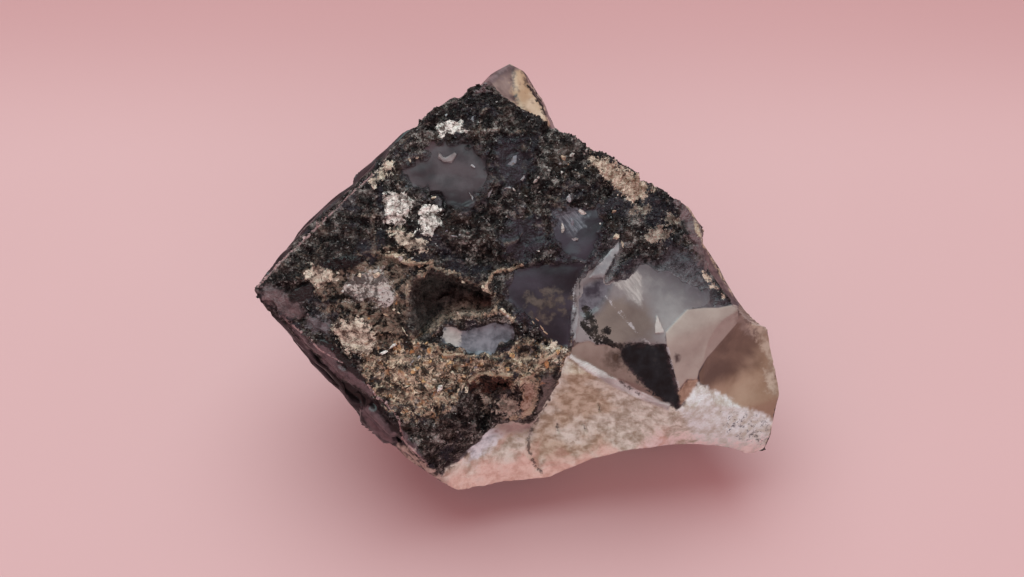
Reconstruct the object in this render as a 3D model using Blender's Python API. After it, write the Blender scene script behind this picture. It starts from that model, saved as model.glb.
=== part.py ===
"""Dendritic opal: one hand-sized broken lump, modelled as a single solid.

The lump is a star-shaped body. From a point at its heart, a ray in any direction runs to the
first of its broken faces, so the whole outside is one distance for each direction. Flat breaks
are the faces round a few corner points, shell-shaped breaks are the bites of large balls, and
the left sides break in thin ledges. On the broad face the dark crust stands over smooth
windows of opal and has hollows in it. A fine ball is drawn out to all this, thinned to the
triangles that the shape needs, and cut level where the lump rests.
"""

import math

import bmesh
import bpy
import numpy as np
from mathutils import Matrix, Vector

MM = 0.001
NAME = "dendritic_opal"

# Everything is placed in the frame of the broad face, in millimetres: x to the right along
# it, y up it and z out of it, from its middle. Outlines are drawn as they appear from EYE_UP
# straight over that middle, and so they lie right on surfaces of any depth.
FACE_LEAN = math.radians(40.0)  # how far the broad face leans back from level
FACE_HEIGHT = 42.0  # the face's middle, over what the lump rests on
FACE_FROM_FOOT = (-3.3, -11.1)  # the face's middle, from the middle of the resting flat
EYE_UP = 280.0

HEART = np.array((2.0, -1.0, -20.0))
EDGE_WEAR = 0.15  # how far a broken edge is worn back

RIM = (  # round the broad face
    (-41.8, -0.4, -3.0),
    (-33.0, 7.5, -2.0),
    (-27.5, 13.0, -1.5),
    (-19.0, 20.5, -1.5),
    (-13.0, 27.0, -2.0),
    (-5.6, 32.6, -3.0),
    (6.5, 26.0, -4.0),
    (14.0, 21.5, -4.0),
    (22.9, 16.7, -4.5),
    (28.8, 13.2, -5.0),
    (31.0, 9.5, -4.5),
    (-36.5, -4.5, -3.0),
    (-31.0, -10.0, -2.0),
    (-23.0, -15.5, -2.0),
    (-18.0, -22.0, -2.5),
    (-11.5, -30.5, -4.0),
)
LEFT_SIDES = (  # under the rim, where the lump starts to draw in
    (-38.7, 4.5, -8.0),
    (-35.0, 10.0, -10.0),
    (-27.0, 18.0, -10.0),
    (-16.5, 26.3, -9.0),
    (-38.0, -6.0, -8.0),
    (-32.5, -12.6, -10.0),
    (-26.0, -21.3, -11.0),
    (-19.8, -26.5, -11.0),
    (-9.0, -34.2, -9.0),
    (-2.0, -33.0, -12.0),
)
RIDGES = (  # where the breaks of the broad face meet
    (-26.0, 4.5, 0.0),
    (-2.0, 22.0, -0.5),
    (20.5, 8.5, -1.0),
    (25.5, -8.0, 1.2),
    (14.0, -8.5, 1.2),
    (9.0, -10.0, 0.8),
    (27.5, -19.5, -3.0),
    (37.0, -4.0, -3.5),
    (30.5, -15.0, -3.0),
    (-13.0, -14.5, 0.5),
    (1.5, -6.5, 1.0),
)
NOSE = (  # the right end and the lower front edge
    (42.0, -5.5, -8.0),
    (45.2, -15.5, -10.0),
    (43.2, -22.5, -14.0),
    (42.8, -27.6, -17.0),
    (30.5, -26.8, -21.0),
    (22.0, -26.6, -20.0),
    (15.0, -28.4, -18.0),
    (4.5, -31.2, -14.0),
)
BACK = (
    (-22.0, 15.5, -16.0),
    (12.0, 21.0, -21.0),
    (33.5, 6.0, -21.0),
    (-30.0, 1.0, -27.0),
    (8.0, 10.5, -40.5),
    (30.0, -1.0, -36.0),
)
FOOT = (  # a little below the resting flat, which cuts them off
    (-9.0, -26.0, -35.0),
    (13.0, -27.5, -33.5),
    (18.0, -19.0, -41.5),
    (11.0, -10.5, -48.5),
    (-7.0, -10.5, -48.5),
    (-13.0, -19.0, -41.5),
)
LUMP = RIM + LEFT_SIDES + RIDGES + NOSE + BACK + FOOT
REAR_SLAB = (  # its peak stands up behind the top of the broad face
    (-4.5, 33.0, -6.5),
    (-3.5, 35.7, -10.0),
    (-0.3, 37.7, -12.0),
    (2.5, 36.0, -13.0),
    (5.5, 30.0, -12.0),
    (6.5, 26.0, -9.5),
    (-11.0, 28.0, -17.0),
    (8.0, 24.0, -18.0),
    (-14.0, 19.5, -30.0),
    (13.0, 17.5, -32.0),
    (-1.0, 10.0, -43.0),
    (-4.0, -6.0, -15.0),
    (8.0, -6.0, -15.0),
    (-4.0, -6.0, -25.0),
    (8.0, -6.0, -25.0),
)

# Shell-shaped breaks: where the bite is deepest, the way it faces, the ball's radius and the
# depth of the bite.
SHELL_BREAKS = {
    "smoky nose": ((40.0, -12.0, -7.0), (0.42, -0.22, 0.88), 24.0, 2.2),
    "notch": ((35.5, 2.0, -8.0), (0.85, 0.52, 0.0), 14.0, 3.6),
    "arch under the nose": ((23.0, -29.6, -15.5), (0.1, -0.97, -0.2), 33.0, 4.5),
    "peak": ((4.3, 32.7, -12.5), (0.8, 0.5, 0.2), 8.0, 0.8),
    "cream side": ((14.0, -24.0, -8.5), (-0.05, -0.6, 0.8), 55.0, 0.9),
    "back, left": ((-16.0, 10.0, -28.0), (-0.55, 0.65, -0.5), 40.0, 2.5),
    "back, right": ((24.0, 12.0, -30.0), (0.5, 0.7, -0.5), 34.0, 2.5),
    "back, low": ((2.0, 4.0, -44.0), (0.0, 0.75, -0.66), 30.0, 1.6),
    "left, low": ((-27.0, -14.0, -26.0), (-0.75, -0.5, -0.4), 30.0, 2.4),
    "front, low": ((0.0, -31.5, -26.0), (-0.1, -0.95, -0.3), 40.0, 1.8),
}

CRUST_RIM = (  # the edge of the dark crust; on the right it gives way to clean breaks
    (-40.6, -0.4),
    (-35.5, 5.0),
    (-27.5, 12.9),
    (-19.0, 20.6),
    (-13.1, 27.3),
    (-8.8, 30.3),
    (-4.8, 32.4),
    (1.9, 27.3),
    (10.1, 24.4),
    (19.7, 18.0),
    (28.3, 13.0),
    (32.8, 2.5),
    (36.8, -2.3),
    (30.1, -6.6),
    (20.5, -21.0),
    (7.7, -30.6),
    (-6.7, -32.2),
    (-13.0, -28.4),
    (-17.8, -21.7),
    (-22.9, -15.6),
    (-31.8, -8.7),
)
CLEAN_BREAK = (
    (-11.5, -33.8),
    (-10.9, -28.9),
    (-8.0, -27.6),
    (-7.0, -25.4),
    (-2.4, -21.4),
    (3.5, -21.5),
    (6.6, -15.0),
    (9.0, -10.3),
    (9.9, -2.2),
    (10.6, 1.7),
    (13.6, 4.1),
    (17.0, 8.6),
    (17.9, 7.1),
    (15.4, 1.4),
    (20.8, 4.1),
    (25.8, 2.6),
    (31.4, -0.2),
    (31.8, -2.2),
    (39.7, -1.8),
    (49.3, -5.0),
    (49.3, -33.8),
)
CLEAR_DISH = (
    (-17.8, 19.4),
    (-14.9, 20.6),
    (-12.5, 23.0),
    (-9.1, 24.1),
    (-6.1, 23.0),
    (-4.5, 20.6),
    (-3.2, 17.7),
    (-4.5, 14.8),
    (-7.8, 13.0),
    (-10.9, 13.5),
    (-14.2, 15.3),
    (-17.3, 17.0),
)
CHALCEDONY = (
    (-11.7, -6.8),
    (-10.9, -5.8),
    (-7.4, -6.5),
    (-2.1, -4.7),
    (0.0, -5.7),
    (0.3, -7.9),
    (-3.2, -10.8),
    (-6.7, -10.8),
    (-11.5, -8.9),
)
DARK_WINDOW = (
    (-1.0, -1.8),
    (0.0, 3.0),
    (4.5, 4.2),
    (12.5, 4.2),
    (10.9, 2.0),
    (9.8, -5.0),
    (9.3, -9.0),
    (7.0, -9.8),
    (4.5, -6.6),
)
UPPER_WINDOW = (
    (6.2, 8.7),
    (7.0, 11.6),
    (9.6, 13.0),
    (13.4, 12.9),
    (15.0, 10.6),
    (12.2, 4.2),
    (9.0, 4.2),
)
VUG = (
    (-16.6, -0.4),
    (-16.0, 1.4),
    (-13.8, 2.8),
    (-10.2, 2.3),
    (-4.5, 0.9),
    (-2.4, -0.9),
    (-2.4, -3.0),
    (-4.5, -4.7),
    (-7.8, -4.7),
    (-11.0, -5.4),
    (-12.0, -6.8),
    (-14.9, -8.2),
    (-16.8, -3.3),
)
TROUGH = (
    (-14.1, 5.2),
    (-10.6, 7.4),
    (-5.8, 8.4),
    (-1.9, 7.3),
    (-1.4, 4.6),
    (-3.0, 1.7),
    (-6.7, 2.0),
    (-10.2, 3.9),
)
LOW_HOLLOW = (
    (-7.7, -16.6),
    (-6.4, -14.6),
    (0.3, -14.0),
    (0.6, -15.6),
    (-1.9, -16.6),
    (-3.5, -22.3),
    (-5.4, -23.3),
    (-7.4, -20.7),
)
WINDOWS = (CLEAN_BREAK, CLEAR_DISH, CHALCEDONY, DARK_WINDOW, UPPER_WINDOW)
HOLLOWS = (  # outline, depth, and how far in from the outline the bowl under the wall starts
    (VUG, 7.5, 1.0),
    (TROUGH, 2.4, 1.6),
    (LOW_HOLLOW, 3.2, 0.9),
    (CLEAR_DISH, 1.0, 2.5),
    (UPPER_WINDOW, 0.4, 2.0),
)
WALL_SHARE = 0.6  # how much of a hollow's depth is steep wall; the rest is a bowl
BOWL_WIDTH = 3.5  # in widths of the wall
HOLLOWS_FROM = 8.0  # how far behind the face hollows and thinner crust begin to fade out
HOLLOWS_TO = 12.0

CRUST_THICKNESS = 0.5
CRUST_STEP = 0.6  # half the width of the slope at the crust's edge
CRUST_RIM_WEAR = 1.5  # how far out the crust thins away at its rim
CRUST_FROM = 6.0  # how far behind the face the front crust begins to fade out
CRUST_TO = 9.0
CRUST_LUMPS = ((5.0, 0.75), (2.2, 0.45))  # size and height
EDGE_BENDS = (1.6, 0.35)  # the size and the reach of the bends in the edges of crust and hollows
REAR_CRUST_FROM = 12.0  # how far behind the face the patches of the rear crust begin
REAR_CRUST_TO = 18.0
REAR_CRUST_SIZE = 16.0
REAR_CRUST_EDGE = (-0.05, 0.15)  # the unevenness at which a patch begins, and is thick
SWELL = ((14.0, 0.5), (6.0, 0.2))  # the slow unevenness of every break

LEDGE_SPACING = 4.6  # down the left sides
LEDGE_DEPTH = 1.5
LEDGE_BREAK = 0.3  # the share of the spacing over which a ledge falls back
LEDGE_WANDER = ((12.0, 3.0), (4.0, 0.6))
LEDGE_SUNK = 0.4  # the share of the depth that lies inside the broken surface
LEDGES_FROM_LEFT = (6.0, 14.0)  # how far left of the middle ledges begin, and reach full depth
LEDGES_FROM_RIM = (2.5, 4.5)  # the same, down from the face
LEDGES_END = (22.0, 14.0)  # how far down they have died out, and still have full depth

SEED_SWELL = 10
SEED_LUMPS = 20
SEED_LEDGES = 40
SEEDS_BENDS = (50, 51)
SEED_REAR_CRUST = 70

BALL_FINENESS = 8  # subdivisions of the ball that is drawn out: 327,680 triangles
WEAR_ROUNDS = 2  # how often every point is then drawn towards its neighbours
MOST_TRIANGLES = 9400
GROUND_SIDE = 0.2  # the side of the box that cuts the lump level, in metres
LATTICE = 32  # cells of the noise before it repeats


def planes_round(corners):
    """The outward normal and the offset of each flat face round the corners."""
    hull = bmesh.new()
    for corner in corners:
        hull.verts.new(corner)
    bmesh.ops.convex_hull(hull, input=hull.verts, use_existing_faces=False)
    hull.normal_update()
    middle = Vector(np.mean(corners, axis=0))
    normals = []
    offsets = []
    for face in hull.faces:
        outward = face.normal.copy()
        if outward.dot(face.calc_center_median() - middle) < 0:
            outward.negate()
        normals.append(outward)
        offsets.append(outward.dot(face.verts[0].co))
    hull.free()
    return np.array(normals), np.array(offsets)


def worn_least(distances):
    """The least of each row of distances, a little less where two of them nearly meet."""
    least = distances.min(axis=1, keepdims=True)
    near = np.exp((least - distances) / EDGE_WEAR).sum(axis=1)
    return least[:, 0] - EDGE_WEAR * np.log(near)


def reach_to_flats(directions, corners):
    """How far a ray from the heart goes to the flat faces round the corners."""
    normals, offsets = planes_round(corners)
    room = offsets - normals @ HEART
    slope = directions @ normals.T
    never = 10 * np.abs(room).max()
    distances = np.where(slope > 1e-6, room / np.maximum(slope, 1e-6), never)
    return worn_least(np.minimum(distances, never))


def reach_to_shell(directions, at, facing, radius, depth):
    """How far a ray from the heart goes before it enters a ball that bites into the lump."""
    facing = np.array(facing) / np.linalg.norm(facing)
    centre = np.array(at) + facing * (radius - depth) - HEART
    along = directions @ centre
    meets = along**2 - centre @ centre + radius**2
    entry = along - np.sqrt(np.maximum(meets, 0.0))
    return np.where((meets > 0) & (along > 0), entry, np.inf)


def eased(values, low, high):
    """0 below the low value, 1 above the high one, and smooth between."""
    share = np.clip((values - low) / (high - low), 0.0, 1.0)
    return share * share * (3 - 2 * share)


def noise(points, size, seed):
    """Smooth unevenness from -1 to 1, with lumps of the given size."""
    table = np.random.default_rng(seed).uniform(-1, 1, (LATTICE, LATTICE, LATTICE))
    cells = np.floor(points / size).astype(int)
    share = eased(points / size - cells, 0.0, 1.0)
    total = np.zeros(len(points))
    for corner in np.ndindex(2, 2, 2):
        weight = np.prod(np.where(corner, share, 1 - share), axis=1)
        x, y, z = ((cells + corner) % LATTICE).T
        total += weight * table[x, y, z]
    return total


def unevenness(points, scales, seed):
    """The sum of noises, each with its size and its height."""
    total = np.zeros(len(points))
    for step, (size, height) in enumerate(scales):
        total += height * noise(points, size, seed + step)
    return total


def depth_inside(spots, outline):
    """How far inside the outline each spot lies, negative where it is outside."""
    corners = np.array(outline)
    gap = np.full(len(spots), np.inf)
    inside = np.zeros(len(spots), bool)
    for start, end in zip(corners, np.roll(corners, -1, axis=0)):
        edge = end - start
        share = np.clip((spots - start) @ edge / (edge @ edge), 0.0, 1.0)
        gap = np.minimum(gap, np.linalg.norm(spots - start - share[:, None] * edge, axis=1))
        crossed = (start[1] > spots[:, 1]) != (end[1] > spots[:, 1])
        rise = edge[1] if edge[1] else 1.0
        inside ^= crossed & (spots[:, 0] < start[0] + (spots[:, 1] - start[1]) * edge[0] / rise)
    return np.where(inside, gap, -gap)


def broken_surface(directions):
    """The points where the rays leave the bare broken lump."""
    distance = np.maximum(
        reach_to_flats(directions, LUMP),
        reach_to_flats(directions, REAR_SLAB),
    )
    for at, facing, radius, depth in SHELL_BREAKS.values():
        distance = np.minimum(distance, reach_to_shell(directions, at, facing, radius, depth))
    return HEART + directions * distance[:, None]


def ledges(points):
    """How far each point stands out on the overlapping ledges of the left sides."""
    left = eased(-points[:, 0], *LEDGES_FROM_LEFT)
    below_rim = eased(-points[:, 2], *LEDGES_FROM_RIM) * eased(-points[:, 2], *LEDGES_END)
    down = points[:, 2] + unevenness(points, LEDGE_WANDER, SEED_LEDGES)
    share = down / LEDGE_SPACING - np.floor(down / LEDGE_SPACING)
    ledge = share * eased(1 - share, 0.0, LEDGE_BREAK) - LEDGE_SUNK
    return LEDGE_DEPTH * left * below_rim * ledge


def crust_cover(points, spots):
    """1 where the dark crust covers the lump, 0 on clean breaks."""
    cover = eased(depth_inside(spots, CRUST_RIM), -CRUST_RIM_WEAR, 0.0)
    cover *= eased(points[:, 2], -CRUST_TO, -CRUST_FROM)
    for window in WINDOWS:
        cover *= eased(-depth_inside(spots, window), -CRUST_STEP, CRUST_STEP)
    behind = eased(-points[:, 2], REAR_CRUST_FROM, REAR_CRUST_TO)
    patches = eased(noise(points, REAR_CRUST_SIZE, SEED_REAR_CRUST), *REAR_CRUST_EDGE)
    return np.maximum(cover, behind * patches)


def outside_of_lump(directions):
    """The finished outside: the broken lump with its swell, ledges, crust and hollows."""
    points = broken_surface(directions)
    spots = points[:, :2] / (1 - points[:, 2:] / EYE_UP)
    size, reach = EDGE_BENDS
    spots = spots + reach * np.column_stack([noise(points, size, seed) for seed in SEEDS_BENDS])
    cover = crust_cover(points, spots)
    outward = unevenness(points, SWELL, SEED_SWELL) + ledges(points)
    outward += cover * unevenness(points, CRUST_LUMPS, SEED_LUMPS)
    shaped = points + directions * outward[:, None]
    in_front = eased(points[:, 2], -HOLLOWS_TO, -HOLLOWS_FROM)
    sink = (1 - cover) * CRUST_THICKNESS
    for outline, depth, wall in HOLLOWS:
        inside = depth_inside(spots, outline)
        sink += depth * WALL_SHARE * eased(inside, 0.0, wall)
        sink += depth * (1 - WALL_SHARE) * eased(inside, 0.0, wall * BOWL_WIDTH)
    shaped[:, 2] -= in_front * sink
    return shaped


def lump_mesh():
    """A fine ball, every point of it drawn out from the heart to the outside of the lump."""
    ball = bmesh.new()
    bmesh.ops.create_icosphere(ball, subdivisions=BALL_FINENESS, radius=1.0)
    mesh = bpy.data.meshes.new(NAME)
    ball.to_mesh(mesh)
    ball.free()
    directions = np.empty(len(mesh.vertices) * 3)
    mesh.vertices.foreach_get("co", directions)
    directions = directions.reshape(-1, 3)
    directions /= np.linalg.norm(directions, axis=1, keepdims=True)
    mesh.vertices.foreach_set("co", outside_of_lump(directions).ravel())
    mesh.update()
    return mesh


def ground_cutter(collection):
    """A box whose top is the level that the lump rests on."""
    block = bmesh.new()
    below = Matrix.Translation((0, 0, -GROUND_SIDE / 2))
    bmesh.ops.create_cube(block, size=GROUND_SIDE, matrix=below)
    mesh = bpy.data.meshes.new("ground")
    block.to_mesh(mesh)
    block.free()
    cutter = bpy.data.objects.new("ground", mesh)
    cutter.hide_render = True
    cutter.display_type = "WIRE"
    collection.objects.link(cutter)
    return cutter


def stone():
    material = bpy.data.materials.new("dark crusted opal")
    material.use_nodes = True
    surface = material.node_tree.nodes["Principled BSDF"]
    surface.inputs["Base Color"].default_value = (0.09, 0.08, 0.075, 1.0)
    surface.inputs["Roughness"].default_value = 0.55
    surface.inputs["Metallic"].default_value = 0.0
    return material


def main():
    for old in list(bpy.data.objects):
        bpy.data.objects.remove(old)
    solids = bpy.data.collections.new(NAME)
    cutters = bpy.data.collections.new("cutters")
    cutters.hide_render = True
    bpy.context.scene.collection.children.link(solids)
    bpy.context.scene.collection.children.link(cutters)
    mesh = lump_mesh()
    place = Matrix.Translation((*FACE_FROM_FOOT, FACE_HEIGHT))
    mesh.transform(Matrix.Scale(MM, 4) @ place @ Matrix.Rotation(FACE_LEAN, 4, "X"))
    mesh.materials.append(stone())
    lump = bpy.data.objects.new(NAME, mesh)
    solids.objects.link(lump)
    wear = lump.modifiers.new("wear", "SMOOTH")
    wear.iterations = WEAR_ROUNDS
    thin = lump.modifiers.new("thin", "DECIMATE")
    thin.ratio = MOST_TRIANGLES / len(mesh.polygons)
    rest = lump.modifiers.new("rest level", "BOOLEAN")
    rest.operation = "DIFFERENCE"
    rest.solver = "EXACT"
    rest.object = ground_cutter(cutters)


main()
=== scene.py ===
"""Dendritic opal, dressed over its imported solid.

The skin repeats the solid's own formula on a far finer set of rays and adds what the solid
leaves out: the angular grain, pits and thin lips of the dark crust, its ragged edges, the thin
ledges of the left sides, the small steps and cracks of the clean break. Crumbs, flakes, grit
and single shards lie on the crust as pieces of their own. The skin wears two materials, clean
stone and crust, and each reads how deep a spot lies inside each patch of the stone and lays the
patches over one another with ragged or soft edges.
"""

import math

import bmesh
import bpy
import numpy as np
from mathutils import Matrix, Vector


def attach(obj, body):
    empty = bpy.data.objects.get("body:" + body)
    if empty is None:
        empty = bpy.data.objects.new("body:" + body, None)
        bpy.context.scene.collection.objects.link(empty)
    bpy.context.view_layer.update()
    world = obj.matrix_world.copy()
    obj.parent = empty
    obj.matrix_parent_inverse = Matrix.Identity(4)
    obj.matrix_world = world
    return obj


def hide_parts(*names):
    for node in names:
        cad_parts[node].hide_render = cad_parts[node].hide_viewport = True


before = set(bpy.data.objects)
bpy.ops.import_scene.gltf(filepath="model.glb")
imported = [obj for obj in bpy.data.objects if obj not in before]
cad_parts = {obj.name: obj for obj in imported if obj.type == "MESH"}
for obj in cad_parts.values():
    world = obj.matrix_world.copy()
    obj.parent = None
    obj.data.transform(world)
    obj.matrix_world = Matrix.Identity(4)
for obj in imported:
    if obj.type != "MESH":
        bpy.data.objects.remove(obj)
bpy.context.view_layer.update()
NODE = "dendritic_opal"
MM = 0.001

# The frame of the broad face, in millimetres: x to the right along it, y up it, z out of it.
# Outlines are drawn as they appear from EYE_UP straight over the face's middle.
FACE_LEAN = math.radians(40.0)
FACE_MIDDLE = (-3.3, -11.1, 42.0)
EYE_UP = 280.0
PLACE = Matrix.Translation(FACE_MIDDLE) @ Matrix.Rotation(FACE_LEAN, 4, "X")

FRONT_ACROSS = (-51.0, 45.0)  # the rectangle of the front rays, on the face's level
FRONT_UP = (-40.0, 41.0)
FRONT_COLUMNS = 401
FRONT_ROWS = 337
SKIRT = ((112, 122.0), (50, 177.5))  # rings, and how far from straight out the last one turns
RAY_BATCHES = 12
MOST_TRIANGLES = 197000
GIVE_UP = ((-2.0, 1.0), (0.15, 0.45), (0.5, 0.2))  # facing from which, and what share of detail goes
SMOOTHED_TO = math.radians(32)  # corners sharper than this stay sharp
CRUMBS = (  # name, how many, their middle size and its spread, how thin they are, and the seed
    ("crust_crumbs", 1500, (0.5, 0.3), (0.3, 1.0), 101),
    ("crust_flakes", 6000, (0.42, 0.3), (0.12, 0.9), 103),
    ("crust_grit", 14000, (0.24, 0.25), (0.4, 1.0), 102),
)
SEED_SHARDS = 104

FRAME_WIDTH = 163.84  # millimetres across the picture, on the face's level
FLOOR_HALF = 1.5  # metres
FLOOR_COLOUR = (200, 163, 165)
# painted shade: far behind the stone the card is painted darker, where the light falls off
FLOOR_SHADE_FAR = (0.84, 0.73, 0.73, 1.0)  # the share of that colour far behind the stone
FLOOR_SHADE_FADES = (0.055, 0.115)  # how far behind, in metres, it begins and ends to change
FLOOR_LOW = 0.97  # the darkest unevenness of the card
FLOOR_GRAIN = 0.05  # metres
FLOOR_ROUGHNESS = 0.9
SKY_COLOUR = (1.0, 0.5, 0.5, 1.0)
SKY_STRENGTH = 0.68
LAMPS = (  # name, place, width, power and colour
    ("key", (-0.04, 0.13, 0.52), 0.62, 3.2, (0.64, 1.0, 0.99)),
    ("fill", (0.1, -0.6, 0.3), 0.5, 1.35, (0.78, 1.0, 1.0)),
)
LAMPS_AIM = (0.0, 0.0, 0.03)


def flat(*tenths):
    """Points of the broad face, each across and up, from tenths of a millimetre in a row."""
    return tuple(zip(*(np.array(tenths).reshape(-1, 2).T / 10).tolist()))


def solid(*tenths):
    """Points of the lump, each across, up and out, from tenths of a millimetre in a row."""
    return tuple(zip(*(np.array(tenths).reshape(-1, 3).T / 10).tolist()))


HEART = np.array((2.0, -1.0, -20.0))
EDGE_WEAR = 0.15  # how far a broken edge is worn back

RIM = solid(  # round the broad face
    -418, -4, -30, -330, 75, -20, -275, 130, -15, -190, 205, -15, -130, 270, -20, -56, 326, -30,
    65, 260, -40, 140, 215, -40, 229, 167, -45, 288, 132, -50, 310, 95, -45, -365, -45, -30,
    -310, -100, -20, -230, -155, -20, -180, -220, -25, -115, -305, -40,
)
LEFT_SIDES = solid(  # under the rim, where the lump starts to draw in
    -387, 45, -80, -350, 100, -100, -270, 180, -100, -165, 263, -90, -380, -60, -80, -325, -126, -100,
    -260, -213, -110, -198, -265, -110, -90, -342, -90, -20, -330, -120,
)
RIDGES = solid(  # where the breaks of the broad face meet
    -260, 45, 0, -20, 220, -5, 205, 85, -10, 255, -80, 12, 140, -85, 12, 90, -100, 8, 275, -195, -30,
    370, -40, -35, 305, -150, -30, -130, -145, 5, 15, -65, 10,
)
NOSE = solid(  # the right end and the lower front edge
    420, -55, -80, 452, -155, -100, 432, -225, -140, 428, -276, -170, 305, -268, -210, 220, -266, -200,
    150, -284, -180, 45, -312, -140,
)
BACK = solid(
    -220, 155, -160, 120, 210, -210, 335, 60, -210, -300, 10, -270, 80, 105, -405, 300, -10, -360,
)
FOOT = solid(  # a little below the resting flat, which cuts them off
    -90, -260, -350, 130, -275, -335, 180, -190, -415, 110, -105, -485, -70, -105, -485,
    -130, -190, -415,
)
LUMP = RIM + LEFT_SIDES + RIDGES + NOSE + BACK + FOOT
REAR_SLAB = solid(  # its peak stands up behind the top of the broad face
    -45, 330, -65, -35, 357, -100, -3, 377, -120, 25, 360, -130, 55, 300, -120, 65, 260, -95,
    -110, 280, -170, 80, 240, -180, -140, 195, -300, 130, 175, -320, -10, 100, -430, -40, -60, -150,
    80, -60, -150, -40, -60, -250, 80, -60, -250,
)

# Shell-shaped breaks: where the bite is deepest, the way it faces, the ball's radius and the
# depth of the bite.
SHELL_BREAKS = {
    "smoky nose": ((40.0, -12.0, -7.0), (0.42, -0.22, 0.88), 24.0, 2.2),
    "notch": ((35.5, 2.0, -8.0), (0.85, 0.52, 0.0), 14.0, 3.6),
    "arch under the nose": ((23.0, -29.6, -15.5), (0.1, -0.97, -0.2), 33.0, 4.5),
    "peak": ((4.3, 32.7, -12.5), (0.8, 0.5, 0.2), 8.0, 0.8),
    "cream side": ((14.0, -24.0, -8.5), (-0.05, -0.6, 0.8), 55.0, 0.9),
    "back, left": ((-16.0, 10.0, -28.0), (-0.55, 0.65, -0.5), 40.0, 2.5),
    "back, right": ((24.0, 12.0, -30.0), (0.5, 0.7, -0.5), 34.0, 2.5),
    "back, low": ((2.0, 4.0, -44.0), (0.0, 0.75, -0.66), 30.0, 1.6),
    "left, low": ((-27.0, -14.0, -26.0), (-0.75, -0.5, -0.4), 30.0, 2.4),
    "front, low": ((0.0, -31.5, -26.0), (-0.1, -0.95, -0.3), 40.0, 1.8),
}

CRUST_RIM = flat(  # the edge of the dark crust; on the right it gives way to clean breaks
    -406, -4, -355, 50, -275, 129, -190, 206, -131, 273, -88, 303, -48, 324, 19, 273, 101, 244, 197, 180,
    283, 130, 328, 25, 368, -23, 301, -66, 205, -210, 77, -306, -67, -322, -130, -284, -178, -217,
    -229, -156, -318, -87,
)
CLEAN_BREAK = flat(
    -115, -338, -109, -289, -80, -276, -70, -254, -24, -214, 35, -215, 66, -150, 90, -103, 99, -22,
    106, 17, 136, 41, 170, 86, 179, 71, 154, 14, 208, 41, 258, 26, 314, -2, 318, -22, 397, -18, 493, -50,
    493, -338,
)
CLEAR_DISH = flat(
    -178, 194, -149, 206, -125, 230, -91, 241, -61, 230, -45, 206, -32, 177, -45, 148, -78, 130,
    -109, 135, -142, 153, -173, 170,
)
CHALCEDONY = flat(
    -117, -68, -109, -58, -74, -65, -21, -47, 0, -57, 3, -79, -32, -108, -67, -108, -115, -89,
)
DARK_WINDOW = flat(-10, -18, 0, 30, 45, 42, 125, 42, 109, 20, 98, -50, 93, -90, 70, -98, 45, -66)
UPPER_WINDOW = flat(62, 87, 70, 116, 96, 130, 134, 129, 150, 106, 122, 42, 90, 42)
VUG = flat(
    -166, -4, -160, 14, -138, 28, -102, 23, -45, 9, -24, -9, -24, -30, -45, -47, -78, -47, -110, -54,
    -120, -68, -149, -82, -168, -33,
)
TROUGH = flat(-141, 52, -106, 74, -58, 84, -19, 73, -14, 46, -30, 17, -67, 20, -102, 39)
LOW_HOLLOW = flat(-77, -166, -64, -146, 3, -140, 6, -156, -19, -166, -35, -223, -54, -233, -74, -207)
WINDOWS = (CLEAN_BREAK, CLEAR_DISH, CHALCEDONY, DARK_WINDOW, UPPER_WINDOW)
HOLLOWS = (  # outline, depth, and how far in from the outline the bowl under the wall starts
    (VUG, 7.5, 1.0),
    (TROUGH, 2.4, 1.6),
    (LOW_HOLLOW, 3.2, 0.9),
    (CLEAR_DISH, 1.0, 2.5),
    (UPPER_WINDOW, 0.4, 2.0),
)
WALL_SHARE = 0.6  # how much of a hollow's depth is steep wall; the rest is a bowl
BOWL_WIDTH = 3.5  # in widths of the wall
HOLLOWS_FROM = 8.0  # how far behind the face hollows and thinner crust begin to fade out
HOLLOWS_TO = 12.0

CRUST_THICKNESS = 0.5
CRUST_STEP = 0.6  # half the width of the slope at the crust's edge
CRUST_RIM_WEAR = 1.5  # how far out the crust thins away at its rim
CRUST_FROM = 6.0  # how far behind the face the front crust begins to fade out
CRUST_TO = 9.0
CRUST_LUMPS = ((5.0, 0.75), (2.2, 0.45))  # size and height
EDGE_BENDS = ((1.6, 0.35, (50, 51)),)  # size, reach and seeds of the bends in its edges
REAR_CRUST_FROM = 12.0  # how far behind the face the patches of the rear crust begin
REAR_CRUST_TO = 18.0
REAR_CRUST_SIZE = 16.0
REAR_CRUST_EDGE = (-0.05, 0.15)  # the unevenness at which a patch begins, and is thick
SWELL = ((14.0, 0.5), (6.0, 0.2))  # the slow unevenness of every break

LEDGE_SPACING = 4.6  # down the left sides
LEDGE_DEPTH = 1.5
LEDGE_BREAK = 0.3  # the share of the spacing over which a ledge falls back
LEDGE_WANDER = ((12.0, 3.0), (4.0, 0.6))
LEDGE_SUNK = 0.4  # the share of the depth that lies inside the broken surface
LEDGES_FROM_LEFT = (6.0, 14.0)  # how far left of the middle ledges begin, and reach full depth
LEDGES_FROM_RIM = (2.5, 4.5)  # the same, down from the face
LEDGES_END = (22.0, 14.0)  # how far down they have died out, and still have full depth

SEED_SWELL = 10
SEED_LUMPS = 20
SEED_LEDGES = 40
SEED_REAR_CRUST = 70
LATTICE = 32  # cells of the noise before it repeats

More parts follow.
